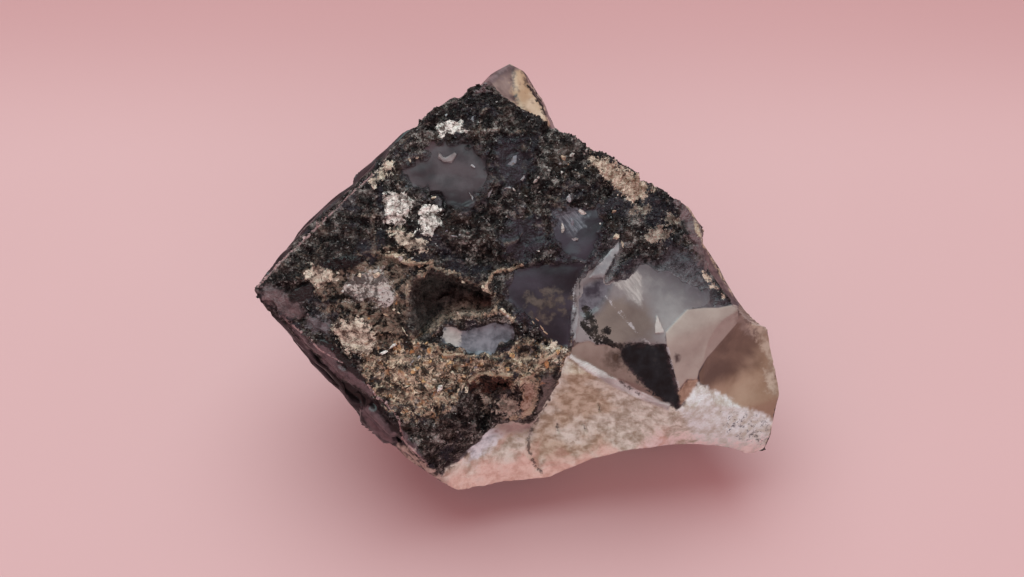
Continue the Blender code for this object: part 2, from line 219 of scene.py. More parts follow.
# What the skin adds to the solid, in millimetres.
GRAIN = ((2.0, 0.30, 82), (1.0, 0.20, 83), (0.55, 0.12, 84))  # angular crumbs: size, height, seed
CURLS = ((1.5, 0.24, 93), (0.8, 0.14, 94))  # thin curled ridges between them
GRAIN_BENDS = ((2.4, 0.7, (90, 91, 92)),)  # how the ground under both is bent
GRAIN_PATCHES = (5.0, 0.4, 81)  # patches in which the grain is stronger or weaker
GRAIN_MEAN = 0.8
PITS = (2.6, 0.8, 85)  # size, depth and seed
PITS_EDGE = (0.30, 0.62)
CELL_ROOM = (0.15, 0.85)  # where in its cell the seed of a crumb may lie
CELL_LIFT = 0.55  # how much a whole crumb stands up, beside its tilt
CREST_SIZE = 3.4
CREST_SHARP = 3.0
CREST_EDGE = (0.4, 1.0)
CREST_PATCHES = 4.5  # the size of the patches that have crests
CREST_PATCH_EDGE = (0.0, 0.4)
CREST_SHARE = 0.7
CREST_HEIGHT = 0.45
LIP_REACH = 2.2  # in widths of the lip
LIP_SLOPE = 1.6
THIN_LEDGES = ((2.3, 0.38), (0.95, 0.12))  # spacing and depth
THIN_LEDGE_BREAK = 0.16
THIN_LEDGE_WANDER = ((9.0, 1.4), (3.0, 0.35))
THIN_LEDGES_FROM_LEFT = (6.0, 12.0)
THIN_LEDGES_FROM_RIM = (2.2, 3.6)
RIPPLE = ((4.0, 0.10), (1.3, 0.03))  # the slow ripple of the clean break
CHALK = (1.5, 0.10, 63)  # what the chalky rind has besides
CHALK_GRAIN = (0.8, 0.04, 64)
CHALK_EDGE = (-0.5, 1.0)
CRACK_DEPTH = 0.35
CRACK_REACH = 1.6  # in widths of the crack
CRACK_SLOPE = 1.2
SEED_RIPPLE = 61
SEED_THIN_LEDGES = 91
SEEDS_CRESTS = (86, 88)

FRONT_LEVELS = (-14.0, -9.0)  # how far behind the face the front's own forms fade out
VUG_OVERHANG = 2.4  # how far the vug's deepest floor moves up under its lip
OVERHANG_DEPTH = (0.0, 4.0)
VUG_WALL = 0.8  # how much steeper its wall gets
WALL_WIDTH = (0.0, 0.4)
CRUST_FRAYS = ((0.9, 0.45, (52, 53)), (2.3, 0.5, (55, 56)))  # how the crust's edge is frayed
DISH_FRAY = 1.6  # how much more it is round the clear dish
DISH_FRAY_EDGE = (-3.0, -0.5)
FACING_FRONT = (-0.1, 0.1)  # where a surface stops and starts to look at the eye
UNDER_FACING = (-0.5, -0.2)  # crust that looks away has ended this far behind the face
UNDER_LEVELS = (9.0, 12.0)
VUG_CRUST_EDGE = (-0.5, 0.5)  # the vug is crusted all over
VUG_LEVELS = (-16.0, -13.0)
SMOOTH_EDGE = (-0.2, 0.4)
CHIPS_EDGE = (-0.1, 0.1)
CHIPS_STILL = 0.6  # how much of the grain pale chips and glassy spots take away
GLASSY_EDGE = (-0.5, 0.8)
GLASSY_STILL = 0.65
CALM = 0.5  # the share of the grain that surfaces seen from the side keep
CALM_FACING = (0.1, 0.5)
CRUST_RISE = 0.3  # how high the ground of the grain stands over the solid
CHIPS_RISE = 0.3
RIGHT_GLASS_SINKS = 0.8
RIGHT_GLASS_EDGE = (-0.5, 1.0)

PATCH_FRAYS = ((1.2, 0.5, (54, 55)), (0.6, 0.3, (56, 57)))  # how the edges of patches are frayed
PATCH_FACING = (-0.25, -0.02)
PALE_REACH = 1.5
LEFT_SIDES_FROM = (4.0, 12.0)  # the glassy left sides: how far left, and how far down
LEFT_SIDES_DOWN = (-30.0, -16.0)
FAR = 9.0  # widths of a line; nothing further out is noted
CRUST_SHOWS = 0.03  # the cover from which a triangle wears the crust's material

COVERED = 0.5  # the cover that a crumb needs
SMALL_CRUMB = 0.4  # smaller ones may lie in the vug
VUG_BARE = 0.4  # how deep in the vug larger ones end
CRUMBS_FACING = 0.05  # crumbs lie where the surface looks at the eye, or
CRUMBS_AWAY = -0.4  # where it looks away, at this share
CRUMBS_BEHIND = 0.15
CRUMBS_IN_GOLD = 0.4
CRUMBS_OVER_FLOOR = 1.0
CRUMB_CORNERS = (0.5, 1.3)  # how far out each corner of a crumb may lie
CRUMB_RISE = 0.1  # how much of its size a crumb stands up
SHARD_SIDES = 6
SHARD_TILT = 0.3
SHARD_TURNS = 0.4  # how unevenly the corners lie round it
SHARD_CORNERS = (0.45, 1.3)
SHARD_EDGE = (0.14, 0.14)  # the height of its upper edge and the spread of it
SHARD_TOP = 0.24
SHARD_THICKNESS = (0.12, 0.1)  # and how much more for each millimetre of width

PLATE = flat(
    131, 34, 106, 17, 98, -2, 99, -22, 96, -79, 107, -87, 125, -84, 134, -90, 173, -90, 194, -87,
    230, -90, 248, -89, 245, -71, 270, -47, 285, -33, 318, -23, 317, -4, 302, 14, 258, 26, 208, 41,
    198, 26, 189, 12, 166, 9, 150, 22, 155, 38, 165, 52, 179, 71, 170, 86, 157, 63, 136, 41,
)
PLATE_BLUE = flat(104, -22, 107, 1, 125, 15, 141, 20, 160, 10, 150, -12, 138, -31, 118, -44, 106, -38)
PLATE_FEATHER = flat(193, 39, 205, 20, 210, -10, 209, -34, 193, -19, 178, -3, 162, 10, 173, 15, 184, 23)
PLATE_BROWN = flat(128, -47, 150, -22, 186, -18, 224, -31, 232, -66, 221, -87, 170, -89, 138, -73)
PLATE_PALE = flat(205, 33, 256, 20, 298, 4, 310, -18, 285, -31, 256, -63, 243, -71, 218, -28)
WHITE_WEDGE = flat(232, -42, 239, -59, 244, -70, 229, -72, 229, -59)
NECK = flat(170, 86, 157, 63, 136, 41, 125, 18, 147, 18, 160, 42, 179, 71)
SLIVER = flat(96, -28, 104, -33, 106, -58, 102, -81, 93, -84, 91, -58)
WEDGE = flat(
    173, -90, 194, -87, 230, -90, 248, -94, 251, -111, 259, -138, 267, -164, 267, -191, 251, -185,
    226, -172, 214, -156, 194, -138, 182, -124, 173, -108,
)
BLUSH = flat(
    90, -98, 107, -87, 125, -84, 134, -90, 173, -90, 176, -111, 189, -132, 214, -156, 250, -185,
    221, -177, 194, -164, 162, -148, 125, -127, 93, -110,
)
BLUSH_STAIN = flat(157, -98, 176, -95, 181, -118, 166, -127, 154, -114)
WHITE_EDGE = flat(
    86, -102, 125, -122, 162, -143, 194, -159, 221, -172, 253, -186, 250, -194, 218, -182, 189, -170,
    157, -154, 122, -134, 90, -111,
)
BEIGE = flat(
    246, -70, 258, -57, 280, -34, 307, -31, 330, -31, 360, -25, 363, -50, 352, -70, 323, -100, 312, -111,
    299, -132, 296, -146, 280, -145, 267, -162, 258, -126, 248, -92,
)
BEIGE_SPOT = flat(261, -103, 267, -106, 269, -116, 262, -119, 259, -111)
BROWN_CHIP = flat(267, -162, 280, -145, 296, -146, 294, -162, 282, -175, 267, -191)
SMOKY = flat(
    363, -23, 374, -25, 387, -36, 400, -60, 413, -90, 427, -126, 435, -146, 429, -174, 421, -196,
    413, -206, 387, -196, 357, -183, 330, -166, 301, -151, 299, -137, 312, -111, 363, -52,
)
WHITE_RIGHT = flat(
    267, -194, 285, -172, 298, -153, 330, -166, 357, -183, 387, -196, 414, -206, 416, -223, 408, -258,
    349, -274, 301, -255, 285, -226,
)
SPECKS = flat(339, -204, 368, -198, 406, -207, 410, -230, 397, -249, 362, -242, 336, -226)
LOWER_RIM = flat(
    205, -242, 269, -239, 301, -244, 349, -252, 390, -249, 413, -242, 416, -278, 349, -287, 301, -271,
    221, -271,
)
CREAM = flat(
    -115, -338, -109, -289, -80, -276, -70, -254, -42, -234, -24, -214, 11, -206, 35, -215, 66, -150,
    82, -116, 90, -103, 141, -134, 205, -174, 267, -194, 301, -153, 357, -183, 414, -206, 445, -242,
    445, -338,
)
BLUE_BAND = flat(-80, -262, -67, -236, -45, -223, -19, -223, -19, -242, -42, -262, -64, -278)
STAIN_UPPER = flat(80, -118, 141, -134, 176, -159, 157, -194, 118, -210, 77, -217, 58, -191, 66, -153)
STAIN_LOW = flat(13, -242, 77, -242, 141, -236, 147, -262, 77, -278, 22, -278)
PINK_LOW = flat(
    -115, -300, -67, -278, -19, -262, 26, -255, 32, -287, 141, -265, 205, -246, 301, -242, 301, -290,
    141, -306, -115, -354,
)
GREY_BAND = flat(40, -201, 51, -194, 66, -175, 70, -146, 59, -130, 46, -143, 50, -169, 40, -185)
LENS = flat(14, -145, 26, -138, 35, -154, 37, -178, 29, -199, 18, -204, 11, -186, 19, -166)
GOLD = flat(
    -182, -90, -147, -74, -118, -95, -67, -114, -3, -111, 45, -90, 86, -102, 77, -134, 45, -143,
    -3, -134, -35, -140, -67, -143, -84, -158, -100, -182, -126, -198, -155, -204, -179, -192,
    -211, -166, -243, -134, -237, -102,
)
GOLD2 = flat(21, -102, 58, -92, 80, -105, 70, -127, 53, -143, 32, -134)
TAN_LEFT = flat(
    -339, 26, -296, 38, -244, 50, -200, 66, -173, 58, -166, 30, -173, -18, -160, -76, -182, -102,
    -234, -98, -275, -44, -310, -12,
)
CREAM_CHIP1 = flat(-334, 23, -320, 34, -304, 36, -285, 28, -286, 14, -304, 7, -323, 9)
QUARTZ = flat(
    -270, 4, -256, 20, -234, 26, -214, 30, -198, 20, -189, -2, -189, -25, -202, -31, -224, -22,
    -246, -25, -266, -15,
)
QUARTZ_CORE = flat(-214, -2, -202, 2, -190, -6, -190, -23, -202, -30, -213, -22)
CREAM_GOLD = flat(
    -285, -66, -272, -50, -253, -47, -234, -54, -221, -73, -221, -95, -237, -108, -259, -105, -275, -89,
)
WHITE1 = flat(
    -205, 142, -198, 156, -186, 159, -173, 154, -165, 142, -163, 122, -173, 106, -186, 100, -202, 106,
    -205, 122,
)
WHITE2 = flat(
    -149, 121, -141, 132, -128, 134, -115, 124, -115, 106, -125, 87, -141, 81, -149, 94, -146, 108,
)
TAN_PATCH = flat(-195, 94, -179, 98, -160, 84, -134, 78, -138, 62, -160, 60, -182, 68)
WHITE3 = flat(-120, 254, -110, 265, -96, 266, -83, 263, -72, 257, -80, 249, -99, 247, -112, 241)
STRIP_BEIGE = flat(-227, 170, -214, 186, -192, 204, -189, 194, -205, 177, -221, 162)
MAUVE_TIP = flat(
    -408, -4, -392, 6, -366, 2, -354, -15, -334, -27, -330, -40, -339, -49, -358, -49, -380, -32,
    -399, -18,
)
GREY_LOW_LEFT = flat(-330, -49, -310, -45, -292, -58, -295, -72, -314, -70, -328, -60)
BEIGE_PATCH = flat(
    122, 218, 149, 209, 181, 190, 216, 170, 227, 158, 205, 142, 176, 148, 157, 164, 141, 186, 125, 198,
)
TAN_A = flat(213, 90, 230, 97, 256, 92, 256, 78, 230, 73, 214, 78)
TAN_B = flat(240, 116, 256, 121, 269, 114, 262, 105, 243, 106)
TAN_C = flat(192, 132, 211, 138, 224, 129, 211, 119, 195, 122)
BEIGE_STRIP1 = flat(290, 103, 301, 106, 310, 87, 320, 62, 309, 62, 298, 81)
BEIGE_STRIP2 = flat(310, 26, 323, 30, 336, 10, 339, -9, 323, -2)
MAUVE_SIDE = flat(
    262, 148, 288, 134, 304, 87, 336, 20, 371, -22, 355, -26, 326, 4, 301, 42, 285, 78, 269, 116,
)
CRESCENT = flat(-117, 217, -107, 209, -91, 218, -88, 214, -96, 202, -109, 202, -118, 209)
CHALCEDONY_PATCH = flat(
    -117, -68, -109, -58, -91, -62, -74, -65, -45, -58, -21, -47, 0, -57, 3, -79, -10, -97, -32, -108,
    -67, -108, -96, -100, -115, -89,
)
CHALCEDONY_WHITE = flat(-115, -68, -102, -60, -86, -66, -80, -82, -88, -94, -106, -89, -115, -79)
DARK_PATCH = flat(
    -10, -18, 0, 30, 45, 42, 80, 39, 125, 42, 109, 20, 98, -2, 98, -50, 93, -90, 70, -98, 45, -66,
    13, -54,
)
WINDOW_BROWN = flat(29, -18, 54, -12, 82, -18, 80, -34, 54, -44, 35, -41)
UPPER_PATCH = flat(106, 119, 128, 132, 150, 122, 150, 94, 141, 68, 125, 42, 99, 39, 86, 55, 102, 81)
STREAKS = flat(62, 109, 77, 126, 99, 129, 118, 119, 115, 99, 94, 90, 72, 93)
BLUE_DARK = flat(-19, 90, 3, 116, 35, 113, 58, 90, 53, 58, 19, 42, -10, 52)
MID_GLASS = flat(-32, 222, -6, 238, 19, 222, 29, 190, 13, 161, -13, 154, -29, 177)
PEAK_GREY = flat(-42, 318, -29, 345, -13, 359, 0, 362, 6, 343, 6, 305, 19, 273, -3, 298, -24, 311)
PEAK_AMBER = flat(3, 350, 13, 353, 22, 340, 29, 318, 45, 295, 58, 266, 29, 266, 16, 282, 6, 308)
RED_LEDGE = flat(-74, -146, -51, -138, -19, -140, 8, -140, 6, -159, -19, -156, -45, -162, -67, -162)
LEFT_MAUVE = flat(
    -364, -45, -338, -70, -323, -85, -304, -91, -289, -103, -275, -121, -261, -135, -245, -147,
    -226, -161, -221, -170, -236, -167, -254, -156, -266, -148, -283, -137, -301, -120, -309, -106,
    -325, -96, -348, -72, -363, -54,
)
LEFT_PLATE = flat(
    -242, -189, -226, -187, -212, -203, -198, -217, -186, -234, -183, -246, -202, -242, -219, -232,
    -234, -218, -241, -203,
)
LEFT_BLACK = flat(
    -323, -97, -307, -108, -300, -121, -282, -139, -264, -149, -247, -161, -230, -172, -212, -186,
    -195, -203, -179, -220, -175, -243, -184, -246, -189, -226, -202, -210, -216, -194, -236, -184,
    -254, -178, -280, -159, -300, -134, -314, -114,
)
LEFT_BLACK_TOP = flat(
    -316, -77, -292, -83, -279, -95, -264, -110, -247, -128, -234, -149, -246, -149, -264, -134,
    -279, -120, -292, -104, -307, -91,
)
LOW_MAUVE = flat(-177, -220, -162, -241, -144, -264, -126, -288, -138, -282, -159, -261, -174, -241)
LOW_CREAM = flat(-174, -247, -153, -267, -123, -294, -106, -312, -123, -306, -159, -282, -182, -259)
SMOKY_LIGHT = flat(
    295, -175, 310, -156, 335, -146, 365, -136, 388, -120, 398, -90, 406, -65, 430, -95, 450, -150,
    435, -225, 385, -215, 330, -190,
)
SMOKY_RIM = flat(
    385, -41, 403, -64, 417, -101, 428, -144, 427, -176, 415, -176, 405, -133, 408, -110, 394, -76,
    380, -47,
)
SMOKY_TOP = flat(363, -30, 380, -38, 394, -56, 400, -73, 383, -76, 368, -67, 360, -53)
RIGHT_GLASS = flat(
    171, 27, 197, 44, 237, 47, 260, 70, 294, 56, 328, 22, 348, -7, 363, -27, 351, -41, 312, -33,
    288, -26, 270, -11, 232, 9, 200, 25,
)
# The vug's upper wall under its lip, where the stone is painted dark as shade.
VUG_PAINTED_SHADE = flat(
    -136, 27, -164, 0, -168, -40, -162, -73, -146, -77, -129, -54, -103, -26, -68, -12, -42, -19,
    -30, -21, -33, -12, -46, 7, -85, 14, -127, 33,
)
CREAM_CHIP2 = flat(58, -94, 70, -88, 82, -98, 80, -114, 68, -116, 60, -106)
FACE = flat(
    -330, 20, -220, 155, -60, 280, 20, 260, 140, 200, 250, 125, 310, 35, 340, -15, 95, 20, -20, -30,
    -120, -120, -190, -140, -290, -40,
)
WINDOW_CORNER = flat(60, 128, 120, 130, 110, 40, 80, 44, 64, 80)
PEAK_EDGE = flat(-54, 317, -40, 339, -15, 358, -3, 365, 12, 358, 3, 346, -15, 339, -30, 329, -40, 319)
BLACK_HOLLOW = flat(-311, 40, -284, 49, -254, 53, -230, 51, -237, 42, -256, 31, -283, 28, -303, 34)
BLACK_PLATE = flat(-357, -7, -338, 9, -322, 11, -315, -1, -322, -16, -342, -22, -355, -16)
BEIGE_LUMP = flat(-32, -183, -20, -175, -4, -173, 10, -179, 12, -192, 4, -204, -12, -206, -26, -200)
HOLLOW_RIDGE = flat(
    -54, -152, -44, -154, -40, -168, -34, -186, -36, -197, -46, -193, -50, -176, -56, -164,
)
GREY_LEDGE = flat(
    -24, -210, -2, -214, 18, -210, 35, -195, 44, -185, 37, -210, 30, -229, 3, -234, -27, -229,
)

# Steps of the clean break: the outline, how far it stands out and half the width of the slope.
STEPS = (
    (PLATE_BLUE, -0.35, 0.5),
    (NECK, 0.35, 0.15),
    (SLIVER, 0.25, 0.1),
    (WEDGE, -0.25, 0.4),
    (BLUSH, -0.15, 0.1),
    (WHITE_EDGE, 0.25, 0.15),
    (BEIGE, 0.1, 0.25),
    (WHITE_WEDGE, 0.2, 0.08),
    (CRESCENT, 0.3, 0.1),
    (LENS, 0.5, 0.4),
    (GREY_BAND, 0.5, 0.4),
    (PEAK_AMBER, 0.3, 0.3),
    (LEFT_MAUVE, 0.5, 0.2),
    (LEFT_PLATE, 0.9, 0.3),
    (LEFT_BLACK, -0.9, 0.35),
    (LEFT_BLACK_TOP, -0.5, 0.25),
    (LOW_MAUVE, 0.3, 0.2),
)

# Lines drawn on the stone: the corners, and half the width.
DENDRITE = (  # the dark moss
    (flat(117, -34, 125, -49, 131, -63, 136, -82), 1.0),
    (flat(133, -76, 143, -74, 150, -68, 155, -67), 0.75),
    (flat(137, -75, 150, -83, 160, -89, 172, -91), 0.65),
    (flat(114, -56, 122, -69, 134, -82), 0.65),
    (flat(28, 324, 38, 307, 48, 293, 53, 278), 0.45),
)
CRACK = (  # cracks of the cream rind
    (flat(66, -148, 59, -172, 46, -194, 35, -215), 0.5),
    (flat(35, -215, 27, -238, 26, -258, 34, -278, 46, -294), 0.35),
    (flat(173, -150, 189, -161, 203, -169), 0.4),
    (flat(72, -217, 74, -228), 0.35),
    (flat(115, -220, 118, -228), 0.3),
    (flat(138, -186, 141, -196), 0.25),
)
BRIGHT_EDGE = (  # pale broken edges of the milky plate
    (flat(131, 34, 106, 17, 98, -2, 99, -22, 98, -50, 94, -79), 0.3),
    (flat(150, -12, 170, -38, 195, -66, 221, -89), 0.2),
    (flat(160, -18, 189, -54, 211, -87), 0.2),
    (flat(248, -92, 258, -127, 269, -162), 0.3),
)
# painted highlight: the pale pink line along the lip of the left edges
PINK_LIP_HIGHLIGHT = (  # the lip of the left edges
    (flat(-230, -154, -219, -170, -202, -184, -181, -210, -176, -240, -167, -250, -150, -267, -124,
          -292), 0.15),
    (flat(-364, -49, -330, -76, -307, -99, -271, -119), 0.12),
    (flat(-408, 2, -370, 42, -315, 94, -265, 144, -225, 180), 0.14),
)
RIM_LINE = (  # the pale line along the right rim, and one round the lens
    (flat(274, 139, 288, 124, 297, 93, 308, 67, 323, 42, 334, 22, 351, -4, 363, -21), 0.16),
    (flat(32, -140, 40, -156, 37, -178, 29, -197, 15, -205, 0, -208), 0.2),
)
LIP_LINES = (  # thin ridges of the crust
    (flat(-202, 52, -188, 53, -174, 42, -160, 39, -141, 40, -129, 42, -127, 37, -137, 29, -141, 22,
          -150, 21), 0.2),
    (flat(-127, 35, -118, 29, -103, 25, -89, 24, -82, 15, -75, 13, -66, 7, -56, 5, -46, 10), 0.16),
    (flat(-46, 10, -42, 0, -34, -10, -25, -14, -24, -26, -26, -37), 0.16),
    (flat(-26, -40, -38, -43, -54, -44, -66, -47, -85, -46, -103, -44, -113, -48, -118, -56), 0.2),
    (flat(-17, -37, -6, -44, 1, -51), 0.18),
    (flat(-127, -49, -124, -56, -118, -60), 0.14),
    (flat(-167, 7, -169, -16, -167, -33), 0.16),
    (flat(-68, -148, -56, -138, -40, -135, -21, -138, -3, -138, 5, -148, 0, -159), 0.16),
    (flat(19, -176, 14, -157, 19, -143, 33, -138), 0.16),
    (flat(-122, -91, -116, -103, -101, -108, -85, -105, -71, -109), 0.14),
    (flat(-40, 8, -30, 25, -18, 29, -3, 30, 17, 37), 0.16),
    (flat(35, -134, 47, -115, 61, -110, 75, -101), 0.2),
)

# Single flakes on the crust: place, length and width in tenths of a millimetre, turn in degrees,
# and shade.
FLAKES = (
    (-62, 195, 15, 6, -50, "g"), (-64, 147, 22, 5, -65, "g"), (-35, 154, 15, 6, 70, "g"),
    (1, 204, 20, 15, 50, "b"), (17, 177, 15, 6, 60, "g"), (39, 174, 12, 4, 45, "h"),
    (-5, 160, 12, 5, 20, "g"), (10, 151, 8, 3, 30, "h"), (24, 147, 8, 3, -20, "h"),
    (44, 154, 7, 3, 60, "h"), (4, 158, 7, 3, -40, "h"), (91, 145, 15, 6, -60, "g"),
    (81, 98, 17, 6, 80, "h"), (95, 108, 22, 5, -75, "b"), (112, 121, 17, 10, -50, "h"),
    (116, 216, 22, 7, 50, "h"), (80, 211, 15, 5, -60, "t"), (97, 214, 10, 7, 10, "h"),
    (78, 200, 7, 5, 30, "g"), (89, 198, 7, 5, -30, "t"), (80, 184, 5, 8, 80, "h"),
    (-163, 204, 10, 6, -60, "c"), (-152, 209, 7, 5, 30, "c"), (-125, 146, 10, 5, 20, "c"),
    (-64, 272, 12, 10, 60, "b"), (-103, 276, 10, 5, 10, "g"), (164, 124, 7, 4, 30, "t"),
    (140, 105, 5, 3, 0, "h"), (100, 80, 10, 6, 10, "g"), (42, 59, 5, 3, 0, "w"),
    (-96, 84, 15, 4, -10, "g"), (-106, 91, 12, 4, 30, "b"), (-84, 86, 10, 4, 20, "g"),
    (-187, 52, 10, 5, -10, "c"), (-174, 53, 9, 4, 20, "c"), (-160, 47, 11, 5, 10, "h"),
    (-197, 57, 10, 4, 0, "c"), (-145, 27, 10, 7, 30, "t"), (-40, 3, 9, 20, 10, "c"),
    (-25, 27, 15, 4, 25, "t"), (-141, 22, 9, 7, 20, "t"), (-39, -2, 21, 7, -65, "c"),
    (-79, 12, 9, 4, -20, "c"), (-15, -37, 12, 5, -40, "c"), (-6, -44, 9, 3, -50, "h"),
    (-202, -100, 16, 7, 25, "w"), (-188, -90, 19, 6, 45, "w"), (-209, -103, 6, 5, 0, "w"),
    (-160, -101, 14, 8, 20, "o"), (-132, -103, 8, 14, 10, "o"), (-150, -127, 12, 7, 30, "d"),
    (-141, -148, 9, 7, -20, "d"), (-160, -134, 7, 7, 0, "d"), (-129, -117, 9, 5, 30, "d"),
    (-118, -138, 12, 6, 20, "c"), (-122, -148, 10, 6, -30, "c"), (-137, -155, 10, 6, 10, "c"),
    (-108, -110, 14, 5, -10, "o"), (-103, -118, 10, 5, 20, "d"), (0, -108, 12, 13, 20, "d"),
    (-7, -127, 9, 7, 30, "d"), (3, -120, 7, 7, 0, "c"), (47, -63, 14, 4, -50, "t"),
    (53, -70, 9, 3, -40, "t"), (40, -49, 8, 3, -30, "t"), (56, -122, 12, 19, 20, "o"),
    (74, -101, 7, 10, 0, "d"), (33, -54, 8, 3, -60, "t"), (-79, -157, 14, 4, 75, "c"),
    (-73, -162, 12, 4, -60, "c"), (-188, 53, 14, 5, 10, "c"), (-176, 46, 13, 6, -10, "h"),
    (-160, 40, 12, 5, 5, "t"), (-146, 38, 12, 4, 10, "t"), (-230, -49, 6, 7, 0, "o"),
    (-261, 5, 11, 7, 20, "h"), (-270, -5, 8, 7, 0, "h"), (-249, -9, 10, 7, 40, "h"),
    (-218, 21, 14, 12, 20, "c"), (-244, 20, 12, 8, 30, "c"), (-289, 21, 14, 7, 80, "c"),
    (-174, -68, 14, 3, -60, "c"), (-169, -75, 9, 3, -50, "c"), (-209, -73, 13, 3, 5, "t"),
    (-193, -69, 12, 3, 10, "t"), (-136, -87, 9, 4, 40, "d"), (-153, -91, 10, 5, 20, "t"),
    (-94, -134, 9, 4, -30, "c"), (-80, -124, 9, 4, 20, "t"), (-56, -124, 11, 4, 10, "g"),
    (-160, -120, 14, 3, 60, "g"), (-150, -110, 12, 3, 65, "g"), (14, -145, 9, 5, 10, "t"),
    (-28, -63, 9, 3, 80, "b"), (-181, -40, 9, 3, -40, "c"), (-190, -33, 10, 3, 30, "c"),
    (-202, -40, 9, 3, -20, "t"), (-186, -21, 7, 5, 60, "o"), (-186, -9, 6, 7, 0, "t"),
    (-221, -73, 14, 3, 20, "c"), (-233, -87, 12, 3, 10, "t"), (-179, -129, 9, 4, 70, "t"),
    (-193, -145, 10, 4, 40, "c"), (-209, -152, 9, 4, 30, "t"), (-169, -157, 11, 4, 20, "c"),
    (-153, -166, 14, 5, -10, "c"), (166, 85, 20, 9, 60, "c"), (176, 72, 18, 7, -60, "c"),
    (-117, -160, 15, 9, 50, "w"),
)
FLAKE_SHADES = {
    "w": (222, 216, 212),
    "c": (204, 188, 168),
    "g": (150, 147, 152),
    "b": (104, 105, 115),
    "t": (176, 146, 124),
    "o": (176, 126, 82),
    "d": (200, 164, 118),
    "h": (186, 178, 174),
}

SMOOTH_SPOTS = (  # free of the crust's grain
    MAUVE_TIP, GREY_LOW_LEFT, MAUVE_SIDE, QUARTZ_CORE, LENS, GREY_BAND, RIGHT_GLASS, LEFT_MAUVE,
    LEFT_PLATE, LEFT_BLACK, LEFT_BLACK_TOP, LOW_MAUVE, LOW_CREAM, BLACK_PLATE,
)  # fmt: skip
CHIPS = (WHITE1, WHITE2, WHITE3, CREAM_CHIP1, TAN_PATCH, CREAM_GOLD, QUARTZ)  # lie over the crust
# Windows that clear opal fills again: how high, and how far in from the outline that is reached.
FILLED = ((CLEAR_DISH, 1.0, 2.6), (UPPER_PATCH, 0.5, 1.8), (DARK_PATCH, 0.25, 2.0))
RAGGED = (  # patches with frayed edges
    "gold", "tan", "tan_chips", "cream_chips", "beige_patch", "quartz", "white", "red_ledge", "stain",
    "blue_band", "streaks", "blue_dark", "window_brown", "plate_brown", "vug", "specks", "dish",
)  # fmt: skip

# The patches of the stone: how far out the depth is followed, and their outlines.
PATCHES = {
    "face": (2.0, FACE),
    "cream": (3.0, CREAM),
    "stain": (4.0, STAIN_UPPER, STAIN_LOW),
    "pink": (4.0, PINK_LOW),
    "blue_band": (2.0, BLUE_BAND),
    "white_right": (2.0, WHITE_RIGHT),
    "specks": (2.0, SPECKS),
    "lower_rim": (3.0, LOWER_RIM),
    "plate": (2.0, PLATE),
    "plate_pale": (3.0, PLATE_PALE),
    "plate_brown": (3.0, PLATE_BROWN),
    "plate_blue": (2.5, PLATE_BLUE),
    "feather": (2.0, PLATE_FEATHER),
    "neck": (1.0, NECK, SLIVER),
    "blush": (2.0, BLUSH),
    "blush_stain": (3.0, BLUSH_STAIN),
    "wedge": (2.0, WEDGE),
    "white_edge": (1.5, WHITE_EDGE),
    "beige": (1.0, BEIGE),
    "beige_spot": (1.0, BEIGE_SPOT),
    "brown_chip": (1.5, BROWN_CHIP),
    "smoky": (1.0, SMOKY),
    "smoky_light": (4.0, SMOKY_LIGHT),
    "smoky_top": (2.0, SMOKY_TOP),
    "smoky_rim": (2.0, SMOKY_RIM),
    "right_glass": (2.5, RIGHT_GLASS),
    "vug_painted_shade": (2.5, VUG_PAINTED_SHADE),
    "white_wedge": (0.5, WHITE_WEDGE),
    "dish": (2.0, CLEAR_DISH),
    "crescent": (0.5, CRESCENT),
    "chalcedony": (1.5, CHALCEDONY_PATCH),
    "chalcedony_white": (2.0, CHALCEDONY_WHITE),
    "dark_window": (2.0, DARK_PATCH, UPPER_PATCH, WINDOW_CORNER),
    "window_brown": (3.0, WINDOW_BROWN),
    "streaks": (3.0, STREAKS),
    "blue_dark": (3.0, BLUE_DARK, MID_GLASS),
    "lens": (1.5, LENS),
    "grey_band": (1.5, GREY_BAND),
    "gold": (4.0, GOLD, GOLD2),
    "tan": (5.0, TAN_LEFT),
    "tan_chips": (2.0, TAN_A, TAN_B, TAN_C, BEIGE_LUMP, HOLLOW_RIDGE),
    "cream_chips": (2.0, CREAM_CHIP1, CREAM_GOLD, TAN_PATCH, STRIP_BEIGE, CREAM_CHIP2),
    "beige_patch": (2.0, BEIGE_PATCH, BEIGE_STRIP1, BEIGE_STRIP2),
    "quartz": (2.0, QUARTZ),
    "quartz_core": (1.0, QUARTZ_CORE),
    "white": (1.5, WHITE1, WHITE2, WHITE3),
    "red_ledge": (2.0, RED_LEDGE),
    "mauve": (2.0, MAUVE_TIP, MAUVE_SIDE, PEAK_EDGE),
    "left_mauve": (1.5, LEFT_MAUVE, LEFT_PLATE, LOW_MAUVE),
    "left_black": (1.5, LEFT_BLACK, LEFT_BLACK_TOP, BLACK_HOLLOW, BLACK_PLATE),
    "low_cream": (2.0, LOW_CREAM),
    "grey_left": (2.0, GREY_LOW_LEFT),
    "peak_grey": (3.0, PEAK_GREY, GREY_LEDGE),
    "peak_amber": (3.0, PEAK_AMBER),
    "vug": (3.0, VUG),
    "trough": (3.0, TROUGH),
}
LINES = {
    "lips": LIP_LINES,
    "rim_line": RIM_LINE,
    "dendrite": DENDRITE,
    "cracks": CRACK,
    "bright_edges": BRIGHT_EDGE,
    "pink_lip_highlight": PINK_LIP_HIGHLIGHT,
}
NOTED = (*PATCHES, *LINES, "cover", "facing", "behind", "crest", "pale")  # what the skin notes

